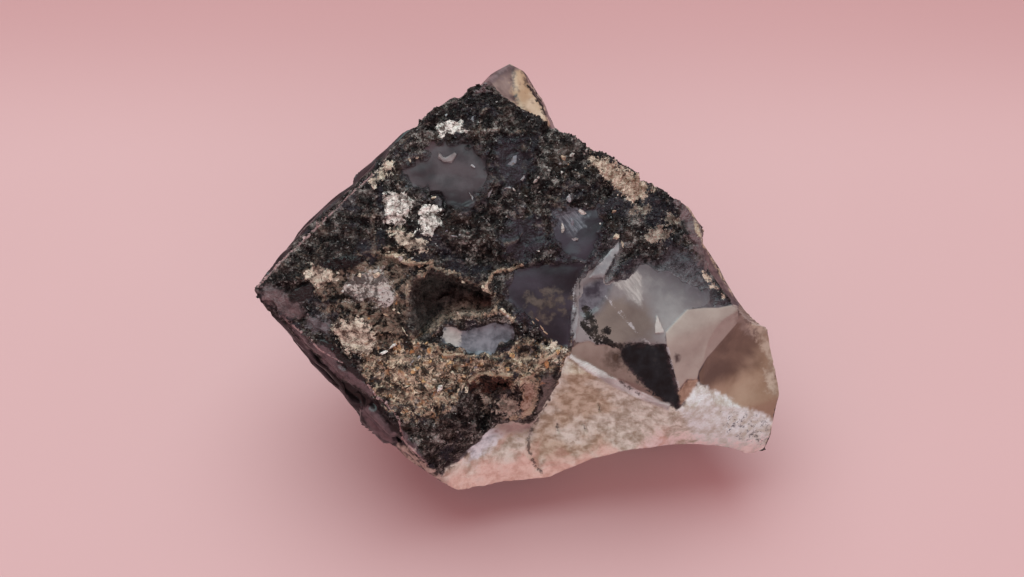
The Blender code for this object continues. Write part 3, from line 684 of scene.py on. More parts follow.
# How the patches are laid over one another, from the lowest. For each: two colours, which
# noise goes between them, half the width of the patch's edge and how ragged it is in
# millimetres, which noise breaks the edge, roughness, and the weight of the glassy coat.
UNDER_CRUST = (
    ("face", (30, 30, 33), (66, 65, 70), "cloud", 0.8, 0.4, "mid", 0.45, 0.1),
    ("cream", (146, 136, 120), (220, 221, 212), "mid", 0.4, 0.4, "mid", 0.55, 0.0),
    ("stain", (138, 120, 99), (200, 190, 172), "mid", 2.0, 2.4, "cloud", 0.55, 0.0),
    # partly painted reflection: the pink that the floor throws on the lowest front is painted into its
    # cream
    ("pink", (190, 156, 144), (221, 197, 187), "mid", 1.8, 2.0, "cloud", 0.5, 0.1),
    ("blue_band", (146, 150, 158), (220, 227, 232), "mid", 0.9, 0.8, "mid", 0.35, 0.2),
    ("plate", (112, 108, 109), (126, 121, 122), "cloud", 0.12, 0.25, "mid", 0.35, 0.2),
    ("plate_pale", (110, 110, 112), (138, 138, 138), "cloud", 1.6, 0.8, "cloud", 0.35, 0.2),
    ("right_glass", (66, 65, 70), (94, 92, 97), "mid", 2.5, 0.9, "mid", 0.35, 0.2),
    ("plate_brown", (94, 85, 81), (114, 105, 99), "cloud", 1.2, 0.6, "cloud", 0.35, 0.2),
    ("plate_blue", (44, 43, 52), (96, 94, 102), "mid", 1.2, 0.6, "cloud", 0.3, 0.25),
    ("feather", (130, 127, 126), (170, 167, 164), "streak", 0.4, 0.35, "mid", 0.35, 0.2),
    ("neck", (116, 117, 121), (146, 146, 148), "mid", 0.15, 0.2, "mid", 0.35, 0.2),
    ("white_wedge", (160, 157, 154), (176, 172, 169), "mid", 0.1, 0.0, "mid", 0.35, 0.2),
    ("blush", (98, 81, 73), (130, 115, 108), "cloud", 0.15, 0.1, "mid", 0.35, 0.2),
    ("blush_stain", (34, 27, 23), (74, 60, 51), "mid", 1.2, 0.8, "mid", 0.35, 0.2),
    ("wedge", (9, 13, 15), (25, 30, 34), "mid", 0.5, 0.5, "frac", 0.35, 0.0),
    ("white_edge", (156, 151, 150), (200, 197, 196), "cloud", 0.25, 0.15, "mid", 0.4, 0.1),
    ("beige", (138, 126, 120), (156, 146, 139), "cloud", 0.12, 0.0, "mid", 0.35, 0.2),
    ("beige_spot", (58, 48, 48), (84, 70, 66), "mid", 0.3, 0.2, "mid", 0.3, 0.2),
    ("brown_chip", (122, 96, 81), (164, 138, 122), "mid", 0.3, 0.3, "mid", 0.4, 0.2),
    ("smoky", (84, 67, 59), (112, 92, 81), "cloud", 0.12, 0.0, "mid", 0.35, 0.2),
    ("smoky_light", (132, 109, 91), (156, 136, 118), "cloud", 1.8, 0.6, "cloud", 0.3, 0.25),
    ("smoky_top", (92, 80, 75), (128, 112, 104), "mid", 0.9, 0.8, "mid", 0.3, 0.25),
    ("smoky_rim", (122, 106, 92), (172, 158, 144), "mid", 0.8, 0.8, "mid", 0.3, 0.25),
    ("white_right", (178, 176, 166), (217, 227, 230), "mid", 0.5, 0.25, "mid", 0.6, 0.0),
    # partly painted reflection: the floor's pink on the lower rim is painted into its pale colour
    ("lower_rim", (182, 158, 154), (216, 200, 197), "mid", 1.4, 1.6, "mid", 0.5, 0.1),
    ("peak_grey", (100, 80, 78), (158, 138, 132), "cloud", 1.2, 0.8, "mid", 0.45, 0.1),
    ("peak_amber", (160, 130, 104), (218, 200, 180), "cloud", 0.8, 0.8, "mid", 0.45, 0.1),
    ("dish", (42, 39, 43), (80, 74, 78), "cloud", 0.5, 0.5, "mid", 0.5, 0.0),
    ("crescent", (98, 92, 93), (128, 121, 122), "mid", 0.1, 0.1, "mid", 0.35, 0.2),
    ("dark_window", (24, 21, 27), (54, 49, 58), "cloud", 0.5, 0.5, "mid", 0.45, 0.0),
    ("window_brown", (42, 37, 35), (82, 73, 68), "mid", 1.6, 2.0, "mid", 0.45, 0.0),
    ("chalcedony", (70, 74, 81), (122, 126, 134), "mid", 0.4, 0.4, "mid", 0.4, 0.1),
    ("chalcedony_white", (140, 139, 136), (176, 175, 172), "mid", 0.3, 0.4, "mid", 0.4, 0.1),
)
ON_CRUST = (
    ("right_glass", (30, 29, 33), (74, 72, 78), "frac", 1.0, 1.4, "mid", 0.35, 0.1),
    ("plate", (80, 79, 83), (112, 110, 114), "mid", 2.0, 0.9, "frac", 0.4, 0.1),
    ("dish", (36, 34, 37), (72, 68, 72), "frac", 0.9, 1.5, "mid", 0.4, 0.1),
    ("dark_window", (32, 28, 32), (60, 54, 62), "frac", 0.8, 1.4, "mid", 0.4, 0.1),
    ("blue_dark", (19, 17, 22), (54, 51, 59), "frac", 0.8, 1.6, "mid", 0.35, 0.15),
    ("tan", (10, 8, 7), (128, 110, 98), "clump", 1.0, 2.0, "mid", 0.6, 0.0),
    ("gold", (50, 40, 34), (184, 162, 142), "frac", 0.7, 2.6, "mid", 0.55, 0.0),
    ("tan_chips", (90, 76, 69), (176, 160, 148), "mid", 0.1, 0.6, "frac", 0.6, 0.0),
    ("beige_patch", (116, 90, 74), (204, 184, 168), "frac", 0.2, 0.8, "frac", 0.55, 0.0),
    ("cream_chips", (112, 95, 84), (212, 198, 182), "frac", 0.1, 0.6, "frac", 0.6, 0.0),
    ("quartz", (80, 72, 70), (176, 166, 161), "clump", 0.15, 0.7, "frac", 0.35, 0.2),
    ("quartz_core", (160, 150, 147), (182, 172, 170), "mid", 0.1, 0.2, "mid", 0.3, 0.3),
    ("white", (118, 108, 102), (238, 232, 226), "frac", 0.06, 0.35, "frac", 0.65, 0.0),
    ("red_ledge", (16, 11, 11), (88, 58, 50), "clump", 0.4, 0.9, "frac", 0.5, 0.1),
    ("grey_band", (56, 48, 47), (116, 104, 101), "mid", 0.3, 0.3, "mid", 0.45, 0.2),
    ("lens", (112, 78, 60), (174, 152, 138), "frac", 0.3, 0.5, "frac", 0.4, 0.1),
)
OVER_ALL = (
    ("streaks", (50, 52, 60), (116, 118, 126), "streak", 0.7, 0.8, "mid", 0.4, 0.1),
    # painted shade: the vug's upper wall under its lip is painted darker
    ("vug_painted_shade", (36, 32, 32), (96, 87, 83), "frac", 1.2, 0.6, "frac", 0.6, 0.0),
    ("grey_left", (66, 61, 65), (116, 111, 115), "mid", 0.6, 0.8, "mid", 0.4, 0.15),
    ("mauve", (68, 56, 58), (114, 96, 98), "mid", 0.5, 0.6, "mid", 0.35, 0.2),
    ("left_black", (12, 10, 11), (30, 25, 27), "mid", 0.15, 0.25, "mid", 0.3, 0.3),
    # partly painted reflection: the pink of the floor, mirrored in the black glass of the left sides, is
    # painted into their mauve
    ("left_mauve", (64, 51, 55), (100, 82, 86), "mid", 0.15, 0.3, "mid", 0.3, 0.3),
    ("low_cream", (136, 116, 108), (176, 156, 147), "mid", 0.6, 0.8, "mid", 0.5, 0.0),
)

# The noises that patches are painted with: size in millimetres, detail, roughness, twist, and
# the values that are made 0 and 1. The streaks lie in a place that is turned and stretched.
NOISES = {
    "cloud": ((6.0, 4.0, 0.5, 0.3), (0.32, 0.68)),
    "mid": ((1.6, 5.0, 0.6, 0.2), (0.3, 0.7)),
    "streak": ((1.0, 5.0, 0.65, 0.8), (0.3, 0.75)),
    "fine": ((0.45, 4.0, 0.65), (0.3, 0.7)),
    "frac": ((1.3, 7.0, 0.78, 0.3), (0.38, 0.62)),
    "clump": ((1.5, 7.0, 0.7, 0.5), (0.43, 0.58)),
}
STREAK_TURN = math.radians(-52)
STREAK_STRETCH = (2.6, 0.5, 1.0)
CLUMPS_PLACE = 1
CRUST_CELLS = (0.55, 0.28)  # the two nets of grains
CRUST_GLOSS = (0.2, 0.6, 0.35, 0.7)  # the roughness from the middle of a small cell to its edge
FAR_OFF = (31.0, 17.0, 7.0)  # a step to a place with other noise
STONE_SHEEN = {"Coat Roughness": 0.12, "IOR": 1.45, "Specular IOR Level": 0.25}
STONE_BUMP = 0.8
STONE_REACH = 0.16  # the reach of the painted relief, in millimetres
CRUMB_REACH = 0.06
SHARD_REACH = 0.08
SLOW_RIPPLE = (3.0, 2.0, 0.4)  # the painted relief of clean stone: a slow noise,
FINE_RIPPLE = 0.08  # the share of a fine one,
CHALK_RIPPLE = (-0.4, 0.6, 0.0, 0.5)  # and its share on the chalky rind, by depth in the cream
FINE_GRAIN = 0.8
CELLS_SHARE = 0.6
SMALL_CELLS_SHARE = 0.4
COVER_FRAY = (1.2, 0.4)  # how much of a noise, and how much besides, the cover is multiplied by
COVER_EDGE = (0.08, 0.18)

# The patches of clean stone that the crust runs up to.
CRUST_MEETS = (
    "face", "cream", "blue_band", "plate", "plate_pale", "neck", "blush", "beige", "dish", "dark_window",
    "window_brown", "chalcedony", "chalcedony_white", "right_glass", "peak_grey", "peak_amber",
)  # fmt: skip
CRUST_SHARES = (("frac", 0.4), ("grain", 0.18), ("mid", 0.2), ("cloud", 0.22))
CRUST_SHADES = (
    (0.20, (9, 7, 8)),
    (0.38, (19, 15, 16)),
    (0.51, (38, 33, 32)),
    (0.62, (70, 63, 60)),
    (0.73, (110, 102, 98)),
    (0.87, (166, 159, 155)),
)
# Patchy tints: which far place their noise comes from, its size, detail, roughness and twist,
# the values where it begins and is full, how strong the tint is then, and its colour.
CRUST_TINTS_AND_GLINTS = (
    (2, (6.0, 5.0, 0.65, 0.6), (0.53, 0.61), 0.6, (49, 46, 54)),
    (3, (5.0, 6.0, 0.7, 0.6), (0.52, 0.62), 0.3, (72, 58, 50)),
    # painted glints: sparse pale flecks that stand for light caught by the crust's grains
    (9, (0.55, 3.0, 0.6, 0.4), (0.64, 0.70), 0.75, (172, 168, 167)),
)
CHIP_TINTS = ((4, (0.8, 5.0, 0.7, 0.5), (0.52, 0.58), 1.0, (58, 45, 40)),)
GOLD_TINTS = (
    (5, (0.9, 5.0, 0.7, 0.7), (0.54, 0.61), 0.8, (224, 206, 182)),
    (6, (1.5, 5.0, 0.7, 0.7), (0.55, 0.62), 0.6, (170, 122, 82)),
    (7, (1.1, 5.0, 0.7, 0.7), (0.53, 0.58), 0.9, (24, 18, 16)),
    (8, (1.0, 5.0, 0.7, 0.7), (0.58, 0.64), 0.6, (98, 97, 103)),
    (9, (3.6, 5.0, 0.7, 0.7), (0.52, 0.60), 0.7, (40, 33, 30)),
)
PITTED_CHIPS = (-0.3, 0.2, 0.0, 0.85)  # depth in a pale chip, and how strong its pits are
GOLD_FRAY = 3.0
GOLD_EDGE = (0.8, 1.8)
GOLD_NEAR = (-3.0, 0.0)  # crests take on gold this near to the golden corner
GOLD_CREST_COLOUR = (186, 152, 118)
CREST_COLOURS = ((96, 82, 74), (176, 156, 140))
CREST_TINT = (0.35, 0.9, 0.0, 0.6)
LIP_COLOURS = ((132, 108, 92), (190, 168, 148))
LIP_WEAR = -1.6
LIP_TINT = (1.1, 0.2, 0.0, 0.85)
VUG_COLOURS = ((42, 33, 30), (160, 138, 124))
VUG_FLOOR = (0.1, 0.7, 0.0, 0.8)
VUG_PAINTED_SHADE_EDGE = (0.6, -1.0)

# The unseen sides. A sheen is a roughness and the weight of the glassy coat.
GLASS_COLOURS = ((30, 25, 28), (66, 54, 58))
GLASS_SHEEN = (0.32, 0.25)
SMOKY_COLOURS = ((92, 78, 72), (142, 124, 115))
SMOKY_SHEEN = (0.35, 0.25)
RIND_COLOURS = ((164, 142, 130), (208, 192, 182))
RIND_SHEEN = (0.65, 0.0)
RIND_PATCHES = ((9.0, 5.0, 0.55, 0.4), (0.50, 0.58))
BACK_MOSS = (2.4, 6.0, 0.7, 1.2)
BACK_MOSS_LINES = (0.035, 0.01)
BACK_MOSS_PATCHES = ((7.0, 2.0), (0.52, 0.6))
BACK_MOSS_COLOUR = (34, 29, 30)
THICK_SPECKS = ((0.9, 5.0, 0.75, 0.6), (0.54, 0.59))
THICK_SPECKS_EDGE = (-1.0, 1.0)
STRAY_SPECKS = ((1.7, 5.0, 0.8, 0.8), (0.67, 0.71))
STRAY_SPECKS_EDGE = (0.0, 1.0)
SPECKS_STRENGTH = 0.8
SPECKS_COLOUR = (62, 60, 68)
LINE_WAVER = (1.4, -0.5)
MOSS_WAVER = 0.7
MOSS_EDGE = (0.85, 0.65)
MOSS_COLOURS = ((16, 15, 16), (52, 46, 42))
MOSS_SHEEN = (0.6, 0.0)
SHARD_NOISE = (0.45, 5.0, 0.75, 0.5)  # the stains of single shards
SHARD_STAINS = (0.44, 0.62, 0.0, 0.85)
SHARD_STAIN_COLOUR = (84, 68, 60)
SHARD_ROUGHNESS = 0.5

# Lines: how much their width wavers, how far out they reach at their faintest and at their
# strongest, in widths, how strong they are, and their colour.
STONE_LINES = (
    ("cracks", 1.0, 0.9, 0.3, 0.75, (44, 34, 34)),
    ("bright_edges", 1.0, 0.7, 0.1, 0.6, (172, 170, 174)),
)
EDGE_LINES = (
    # painted highlight: the pink line on the lip of the left edges
    ("pink_lip_highlight", 0.8, 1.4, 0.6, 0.85, (172, 142, 142)),
    ("rim_line", 2.0, 2.4, 0.8, 0.85, (176, 156, 136)),
)
BOX_FACES = np.array(
    (
        (0, 1, 3), (0, 3, 2), (4, 6, 7), (4, 7, 5), (0, 4, 5), (0, 5, 1),
        (2, 3, 7), (2, 7, 6), (0, 2, 6), (0, 6, 4), (1, 5, 7), (1, 7, 3),
    )
)  # fmt: skip


def planes_round(corners):
    """The outward normal and the offset of each flat face round the corners."""
    hull = bmesh.new()
    for corner in corners:
        hull.verts.new(corner)
    bmesh.ops.convex_hull(hull, input=hull.verts, use_existing_faces=False)
    hull.normal_update()
    middle = Vector(np.mean(corners, axis=0))
    normals = []
    offsets = []
    for face in hull.faces:
        outward = face.normal.copy()
        if outward.dot(face.calc_center_median() - middle) < 0:
            outward.negate()
        normals.append(outward)
        offsets.append(outward.dot(face.verts[0].co))
    hull.free()
    return np.array(normals), np.array(offsets)


def worn_least(distances):
    """The least of each row of distances, a little less where two of them nearly meet."""
    least = distances.min(axis=1, keepdims=True)
    near = np.exp((least - distances) / EDGE_WEAR).sum(axis=1)
    return least[:, 0] - EDGE_WEAR * np.log(near)


def reach_to_flats(directions, corners):
    """How far a ray from the heart goes to the flat faces round the corners."""
    normals, offsets = planes_round(corners)
    room = offsets - normals @ HEART
    slope = directions @ normals.T
    never = 10 * np.abs(room).max()
    distances = np.where(slope > 1e-6, room / np.maximum(slope, 1e-6), never)
    return worn_least(np.minimum(distances, never))


def reach_to_shell(directions, at, facing, radius, depth):
    """How far a ray from the heart goes before it enters a ball that bites into the lump."""
    facing = np.array(facing) / np.linalg.norm(facing)
    centre = np.array(at) + facing * (radius - depth) - HEART
    along = directions @ centre
    meets = along**2 - centre @ centre + radius**2
    entry = along - np.sqrt(np.maximum(meets, 0.0))
    return np.where((meets > 0) & (along > 0), entry, np.inf)


def eased(values, low, high):
    """0 below the low value, 1 above the high one, and smooth between."""
    share = np.clip((values - low) / (high - low), 0.0, 1.0)
    return share * share * (3 - 2 * share)


def noise(points, size, seed):
    """Smooth unevenness from -1 to 1, with lumps of the given size."""
    table = np.random.default_rng(seed).uniform(-1, 1, (LATTICE, LATTICE, LATTICE))
    cells = np.floor(points / size).astype(int)
    share = eased(points / size - cells, 0.0, 1.0)
    total = np.zeros(len(points))
    for corner in np.ndindex(2, 2, 2):
        weight = np.prod(np.where(corner, share, 1 - share), axis=1)
        x, y, z = ((cells + corner) % LATTICE).T
        total += weight * table[x, y, z]
    return total


def unevenness(points, scales, seed):
    """The sum of noises, each with its size and its height."""
    total = np.zeros(len(points))
    for step, (size, height) in enumerate(scales):
        total += height * noise(points, size, seed + step)
    return total


def gap_to_edge(spots, start, edge):
    """How far each spot is from a straight edge, given its start and its way to the end."""
    share = np.clip((spots - start) @ edge / (edge @ edge), 0.0, 1.0)
    return np.linalg.norm(spots - start - share[:, None] * edge, axis=1)


def depth_inside(spots, outline):
    """How far inside the outline each spot lies, negative where it is outside."""
    corners = np.array(outline)
    gap = np.full(len(spots), np.inf)
    inside = np.zeros(len(spots), bool)
    for start, end in zip(corners, np.roll(corners, -1, axis=0)):
        edge = end - start
        gap = np.minimum(gap, gap_to_edge(spots, start, edge))
        crossed = (start[1] > spots[:, 1]) != (end[1] > spots[:, 1])
        rise = edge[1] if edge[1] else 1.0
        inside ^= crossed & (spots[:, 0] < start[0] + (spots[:, 1] - start[1]) * edge[0] / rise)
    return np.where(inside, gap, -gap)


def bends(points, scales):
    """How far each point is shifted each way. For every scale that is its reach times a noise
    of its size, with a seed of its own for each way."""
    shift = np.zeros((len(points), len(scales[0][2])))
    for size, reach, seeds in scales:
        for way, seed in enumerate(seeds):
            shift[:, way] += reach * noise(points, size, seed)
    return shift


def broken_surface(directions):
    """The points where the rays leave the bare broken lump."""
    distance = np.maximum(
        reach_to_flats(directions, LUMP),
        reach_to_flats(directions, REAR_SLAB),
    )
    for at, facing, radius, depth in SHELL_BREAKS.values():
        distance = np.minimum(distance, reach_to_shell(directions, at, facing, radius, depth))
    return HEART + directions * distance[:, None]


def ledge_form(down, spacing, breaking):
    """Ledges one below the other: each slopes out over its spacing, then breaks back."""
    share = down / spacing - np.floor(down / spacing)
    return share * eased(1 - share, 0.0, breaking) - LEDGE_SUNK


def ledges(points):
    """How far each point stands out on the overlapping ledges of the left sides."""
    left = eased(-points[:, 0], *LEDGES_FROM_LEFT)
    below_rim = eased(-points[:, 2], *LEDGES_FROM_RIM) * eased(-points[:, 2], *LEDGES_END)
    down = points[:, 2] + unevenness(points, LEDGE_WANDER, SEED_LEDGES)
    return LEDGE_DEPTH * left * below_rim * ledge_form(down, LEDGE_SPACING, LEDGE_BREAK)


def crust_cover(points, spots):
    """1 where the dark crust covers the lump, 0 on clean breaks."""
    cover = eased(depth_inside(spots, CRUST_RIM), -CRUST_RIM_WEAR, 0.0)
    cover *= eased(points[:, 2], -CRUST_TO, -CRUST_FROM)
    for window in WINDOWS:
        cover *= eased(-depth_inside(spots, window), -CRUST_STEP, CRUST_STEP)
    behind = eased(-points[:, 2], REAR_CRUST_FROM, REAR_CRUST_TO)
    patches = eased(noise(points, REAR_CRUST_SIZE, SEED_REAR_CRUST), *REAR_CRUST_EDGE)
    return np.maximum(cover, behind * patches)


def sighted(points):
    """Where each point appears on the face's own level from the eye straight over its middle."""
    return points[:, :2] / (1 - points[:, 2:] / EYE_UP)


def outside_of_lump(directions):
    """The finished outside: the broken lump with its swell, ledges, crust and hollows."""
    points = broken_surface(directions)
    spots = sighted(points) + bends(points, EDGE_BENDS)
    cover = crust_cover(points, spots)
    outward = unevenness(points, SWELL, SEED_SWELL) + ledges(points)
    outward += cover * unevenness(points, CRUST_LUMPS, SEED_LUMPS)
    shaped = points + directions * outward[:, None]
    in_front = eased(points[:, 2], -HOLLOWS_TO, -HOLLOWS_FROM)
    sink = (1 - cover) * CRUST_THICKNESS
    for outline, depth, wall in HOLLOWS:
        inside = depth_inside(spots, outline)
        sink += depth * WALL_SHARE * eased(inside, 0.0, wall)
        sink += depth * (1 - WALL_SHARE) * eased(inside, 0.0, wall * BOWL_WIDTH)
    shaped[:, 2] -= in_front * sink
    return shaped


def facets(points, size, seed):
    """Angular crumbs: the space is cut into cells round scattered seeds, and inside each cell
    the height is a plane of its own tilt, so that cell meets cell in a broken edge."""
    rng = np.random.default_rng(seed)
    spot = rng.uniform(*CELL_ROOM, (LATTICE, LATTICE, LATTICE, 3))
    tilt = rng.uniform(-1, 1, (LATTICE, LATTICE, LATTICE, 3))
    lift = rng.uniform(-1, 1, (LATTICE, LATTICE, LATTICE))
    scaled = points / size
    base = np.floor(scaled - 0.5).astype(int)
    best = np.full(len(points), np.inf)
    height = np.zeros(len(points))
    for corner in np.ndindex(2, 2, 2):
        cell = base + corner
        x, y, z = (cell % LATTICE).T
        away = scaled - cell - spot[x, y, z]
        gap = (away**2).sum(axis=1)
        value = CELL_LIFT * lift[x, y, z] + (away * tilt[x, y, z]).sum(axis=1)
        nearer = gap < best
        best = np.where(nearer, gap, best)
        height = np.where(nearer, value, height)
    return height


def distance_to_lines(spots, lines):
    """How far each spot is from the nearest line, in widths of that line."""
    least = np.full(len(spots), FAR)
    for corners, width in lines:
        corners = np.array(corners)
        for start, end in zip(corners[:-1], corners[1:]):
            least = np.minimum(least, gap_to_edge(spots, start, end - start) / width)
    return least


def depth_in_any(spots, outlines, clip):
    """The greatest depth inside any of the outlines, no further out than the clip."""
    depth = np.full(len(spots), -clip)
    for outline in outlines:
        low = np.min(outline, axis=0) - clip
        high = np.max(outline, axis=0) + clip
        near = ((spots > low) & (spots < high)).all(axis=1)
        depth[near] = np.maximum(depth[near], depth_inside(spots[near], outline))
    return depth


def ray_rings():
    """Directions from the heart, on a grid that closes behind.

    In front they aim at an even rectangle of points on the face's level. From its border they
    turn in even steps towards straight back, on half as many spokes, then on half again.
    Returns the directions and the triangles between them.
    """
    across = np.linspace(*FRONT_ACROSS, FRONT_COLUMNS)
    up = np.linspace(*FRONT_UP, FRONT_ROWS)
    grid = np.stack(np.meshgrid(across, up), axis=2).reshape(-1, 2)
    front = np.column_stack((grid - HEART[:2], np.full(len(grid), -HEART[2])))
    number = np.arange(len(grid)).reshape(FRONT_ROWS, FRONT_COLUMNS)
    low, high = number[:-1, :-1], number[1:, 1:]
    right, above = number[:-1, 1:], number[1:, :-1]
    faces = [np.stack((low, right, high), axis=2).reshape(-1, 3)]
    faces.append(np.stack((low, high, above), axis=2).reshape(-1, 3))
    border = np.concatenate(
        (number[0, :-1], number[:-1, -1], number[-1, :0:-1], number[:0:-1, 0])
    )
    points = [front / np.linalg.norm(front, axis=1, keepdims=True)]
    loop, rays, used = border, points[0][border], len(grid)
    for rings, reach in SKIRT:
        coarse = np.arange(len(loop) // 2)
        start = rays[::2]
        turned, ring = turned_back(start, rings, reach)
        points.append(turned.reshape(-1, 3))
        numbers = used + np.arange(rings * len(coarse)).reshape(rings, -1)
        faces += halved(loop, numbers[0])
        for inner, outer in zip(numbers[:-1], numbers[1:]):
            faces += strip(inner, outer)
        loop, rays, used = numbers[-1], ring, used + numbers.size
    points.append(np.array(((0.0, 0.0, -1.0),)))
    following = np.roll(loop, -1)
    faces.append(np.column_stack((following, loop, np.full(len(loop), used))))
    return np.concatenate(points), np.concatenate(faces)


def turned_back(start, rings, reach):
    """Rings of rays, each ring turned further from the first towards straight back."""
    angle = np.arccos(np.clip(start[:, 2], -1, 1))
    flat = start[:, :2] / np.linalg.norm(start[:, :2], axis=1, keepdims=True)
    share = (np.arange(rings) + 1)[:, None] / rings
    turned = angle + share * (math.radians(reach) - angle)
    level = np.sin(turned)[..., None] * flat
    rays = np.concatenate((level, np.cos(turned)[..., None]), axis=2)
    return rays, rays[-1]


def strip(inner, outer):
    """Triangles between two rings of equal count."""
    inner_on, outer_on = np.roll(inner, -1), np.roll(outer, -1)
    return [
        np.column_stack((inner, outer, inner_on)),
        np.column_stack((inner_on, outer, outer_on)),
    ]


def halved(loop, ring):
    """Triangles between a loop and a ring with half its count."""
    first, middle, last = loop[::2], loop[1::2], np.roll(loop[::2], -1)
    ring_on = np.roll(ring, -1)
    return [
        np.column_stack((first, ring, middle)),
        np.column_stack((middle, ring, ring_on)),
        np.column_stack((middle, ring_on, last)),
    ]


def mesh_from(name, points, faces):
    """A mesh of triangles, from the points and from three of their numbers for each face."""
    mesh = bpy.data.meshes.new(name)
    mesh.vertices.add(len(points))
    mesh.vertices.foreach_set("co", np.ascontiguousarray(points, np.float32).ravel())
    mesh.loops.add(faces.size)
    mesh.loops.foreach_set("vertex_index", np.ascontiguousarray(faces, np.int32).ravel())
    mesh.polygons.add(len(faces))
    mesh.polygons.foreach_set("loop_start", np.arange(0, faces.size, 3, dtype=np.int32))
    mesh.update(calc_edges=True)
    return mesh


def points_of(mesh):
    flat = np.empty(len(mesh.vertices) * 3, np.float32)
    mesh.vertices.foreach_get("co", flat)
    return flat.reshape(-1, 3).astype(float)


def normals_of(mesh):
    flat = np.empty(len(mesh.vertices) * 3, np.float32)
    mesh.vertex_normals.foreach_get("vector", flat)
    return flat.reshape(-1, 3).astype(float)


def corners_of(mesh):
    """The numbers of the three points of each triangle."""
    corners = np.empty(len(mesh.polygons) * 3, np.int32)
    mesh.loops.foreach_get("vertex_index", corners)
    return corners.reshape(-1, 3)


def move_points(mesh, points):
    mesh.vertices.foreach_set("co", points.astype(np.float32).ravel())


def note(mesh, name, values):
    """Keeps one number for each vertex under the name."""
    mesh.attributes.new(name, "FLOAT", "POINT").data.foreach_set(
        "value", np.ascontiguousarray(values, np.float32)
    )


def noted(mesh, name):
    values = np.empty(len(mesh.vertices), np.float32)
    mesh.attributes[name].data.foreach_get("value", values)
    return values.astype(float)


def crust_grain(points):
    """The broken grain of the crust: the sum of angular crumbs of three sizes and of curled
    ridges, each a half less twice a noise's distance from nothing, on bent ground. It is
    stronger in some patches than in others, and pits lie between."""
    bent = points + bends(points, GRAIN_BENDS)
    size, spread, seed = GRAIN_PATCHES
    strength = GRAIN_MEAN + spread * noise(points, size, seed)
    height = np.zeros(len(points))
    for size, rise, seed in GRAIN:
        height += rise * facets(bent, size, seed)
    for size, rise, seed in CURLS:
        height += rise * (0.5 - 2 * np.abs(noise(bent, size, seed)))
    size, depth, seed = PITS
    return strength * height - depth * eased(noise(bent, size, seed), *PITS_EDGE)


def crests(points, spots):
    """Thin crests, 0 to 1: sharp where a smooth noise passes through nothing, and along the
    lips of the hollows."""
    thin, patchy = SEEDS_CRESTS
    broad = eased(1 - CREST_SHARP * np.abs(noise(points, CREST_SIZE, thin)), *CREST_EDGE)
    some = eased(noise(points, CREST_PATCHES, patchy), *CREST_PATCH_EDGE)
    lips = eased(LIP_REACH - distance_to_lines(spots, LIP_LINES), 0.0, LIP_SLOPE)
    return np.maximum(CREST_SHARE * broad * some, lips)


def side_ledges(points):
    """Thin ledges one below the other down the left sides, each a slope that breaks back."""
    left = eased(-points[:, 0], *THIN_LEDGES_FROM_LEFT)
    left = left * eased(-points[:, 2], *THIN_LEDGES_FROM_RIM)
    down = points[:, 2] + unevenness(points, THIN_LEDGE_WANDER, SEED_THIN_LEDGES)
    total = np.zeros(len(points))
    for spacing, height in THIN_LEDGES:
        total += height * ledge_form(down, spacing, THIN_LEDGE_BREAK)
    return left * total


def clean_relief(points, spots, front):
    """What the clean break and the sides carry: a slow ripple, a rougher one on the chalky
    rind, steps that are eased over the edges of their outlines, and cracks cut down."""
    height = unevenness(points, RIPPLE, SEED_RIPPLE)
    size, rise, seed = CHALK
    chalk = rise * noise(points, size, seed)
    size, rise, seed = CHALK_GRAIN
    chalk += rise * facets(points, size, seed)
    height += eased(depth_inside(spots, CREAM), *CHALK_EDGE) * chalk
    for outline, step, slope in STEPS:
        height += front * step * eased(depth_inside(spots, outline), -slope, slope)
    near = eased(CRACK_REACH - distance_to_lines(spots, CRACK), 0.0, CRACK_SLOPE)
    return height - front * CRACK_DEPTH * near


def fine_outside(directions):
    """The solid's outside on the fine rays, with what the vug's overhang adds: the deeper a
    spot lies in the vug, the further it moves up the face, so its upper lip stands over it."""
    batches = np.array_split(directions, RAY_BATCHES)
    shaped = np.concatenate([outside_of_lump(batch) for batch in batches])
    spots = sighted(shaped)
    front = eased(shaped[:, 2], *FRONT_LEVELS)
    in_vug = depth_inside(spots, VUG)
    shaped[:, 1] += VUG_OVERHANG * (eased(in_vug, *OVERHANG_DEPTH) * front)
    shaped[:, 2] -= VUG_WALL * front * eased(in_vug, *WALL_WIDTH)
    for outline, fill, slope in FILLED:
        shaped[:, 2] += fill * front * eased(depth_inside(spots, outline), -CRUST_STEP, slope)
    return shaped


def fine_cover(points, spots, ragged, facing):
    """1 on the crust, 0 on clean stone, with a frayed edge. Surfaces that look away from the
    eye lose it sooner, and the vug is crusted all over."""
    cover = crust_cover(points, ragged)
    cover *= 1 - eased(-points[:, 2], *UNDER_LEVELS) * eased(facing, *UNDER_FACING)
    in_vug = eased(depth_inside(spots, VUG), *VUG_CRUST_EDGE)
    return np.maximum(cover, in_vug * eased(points[:, 2], *VUG_LEVELS))


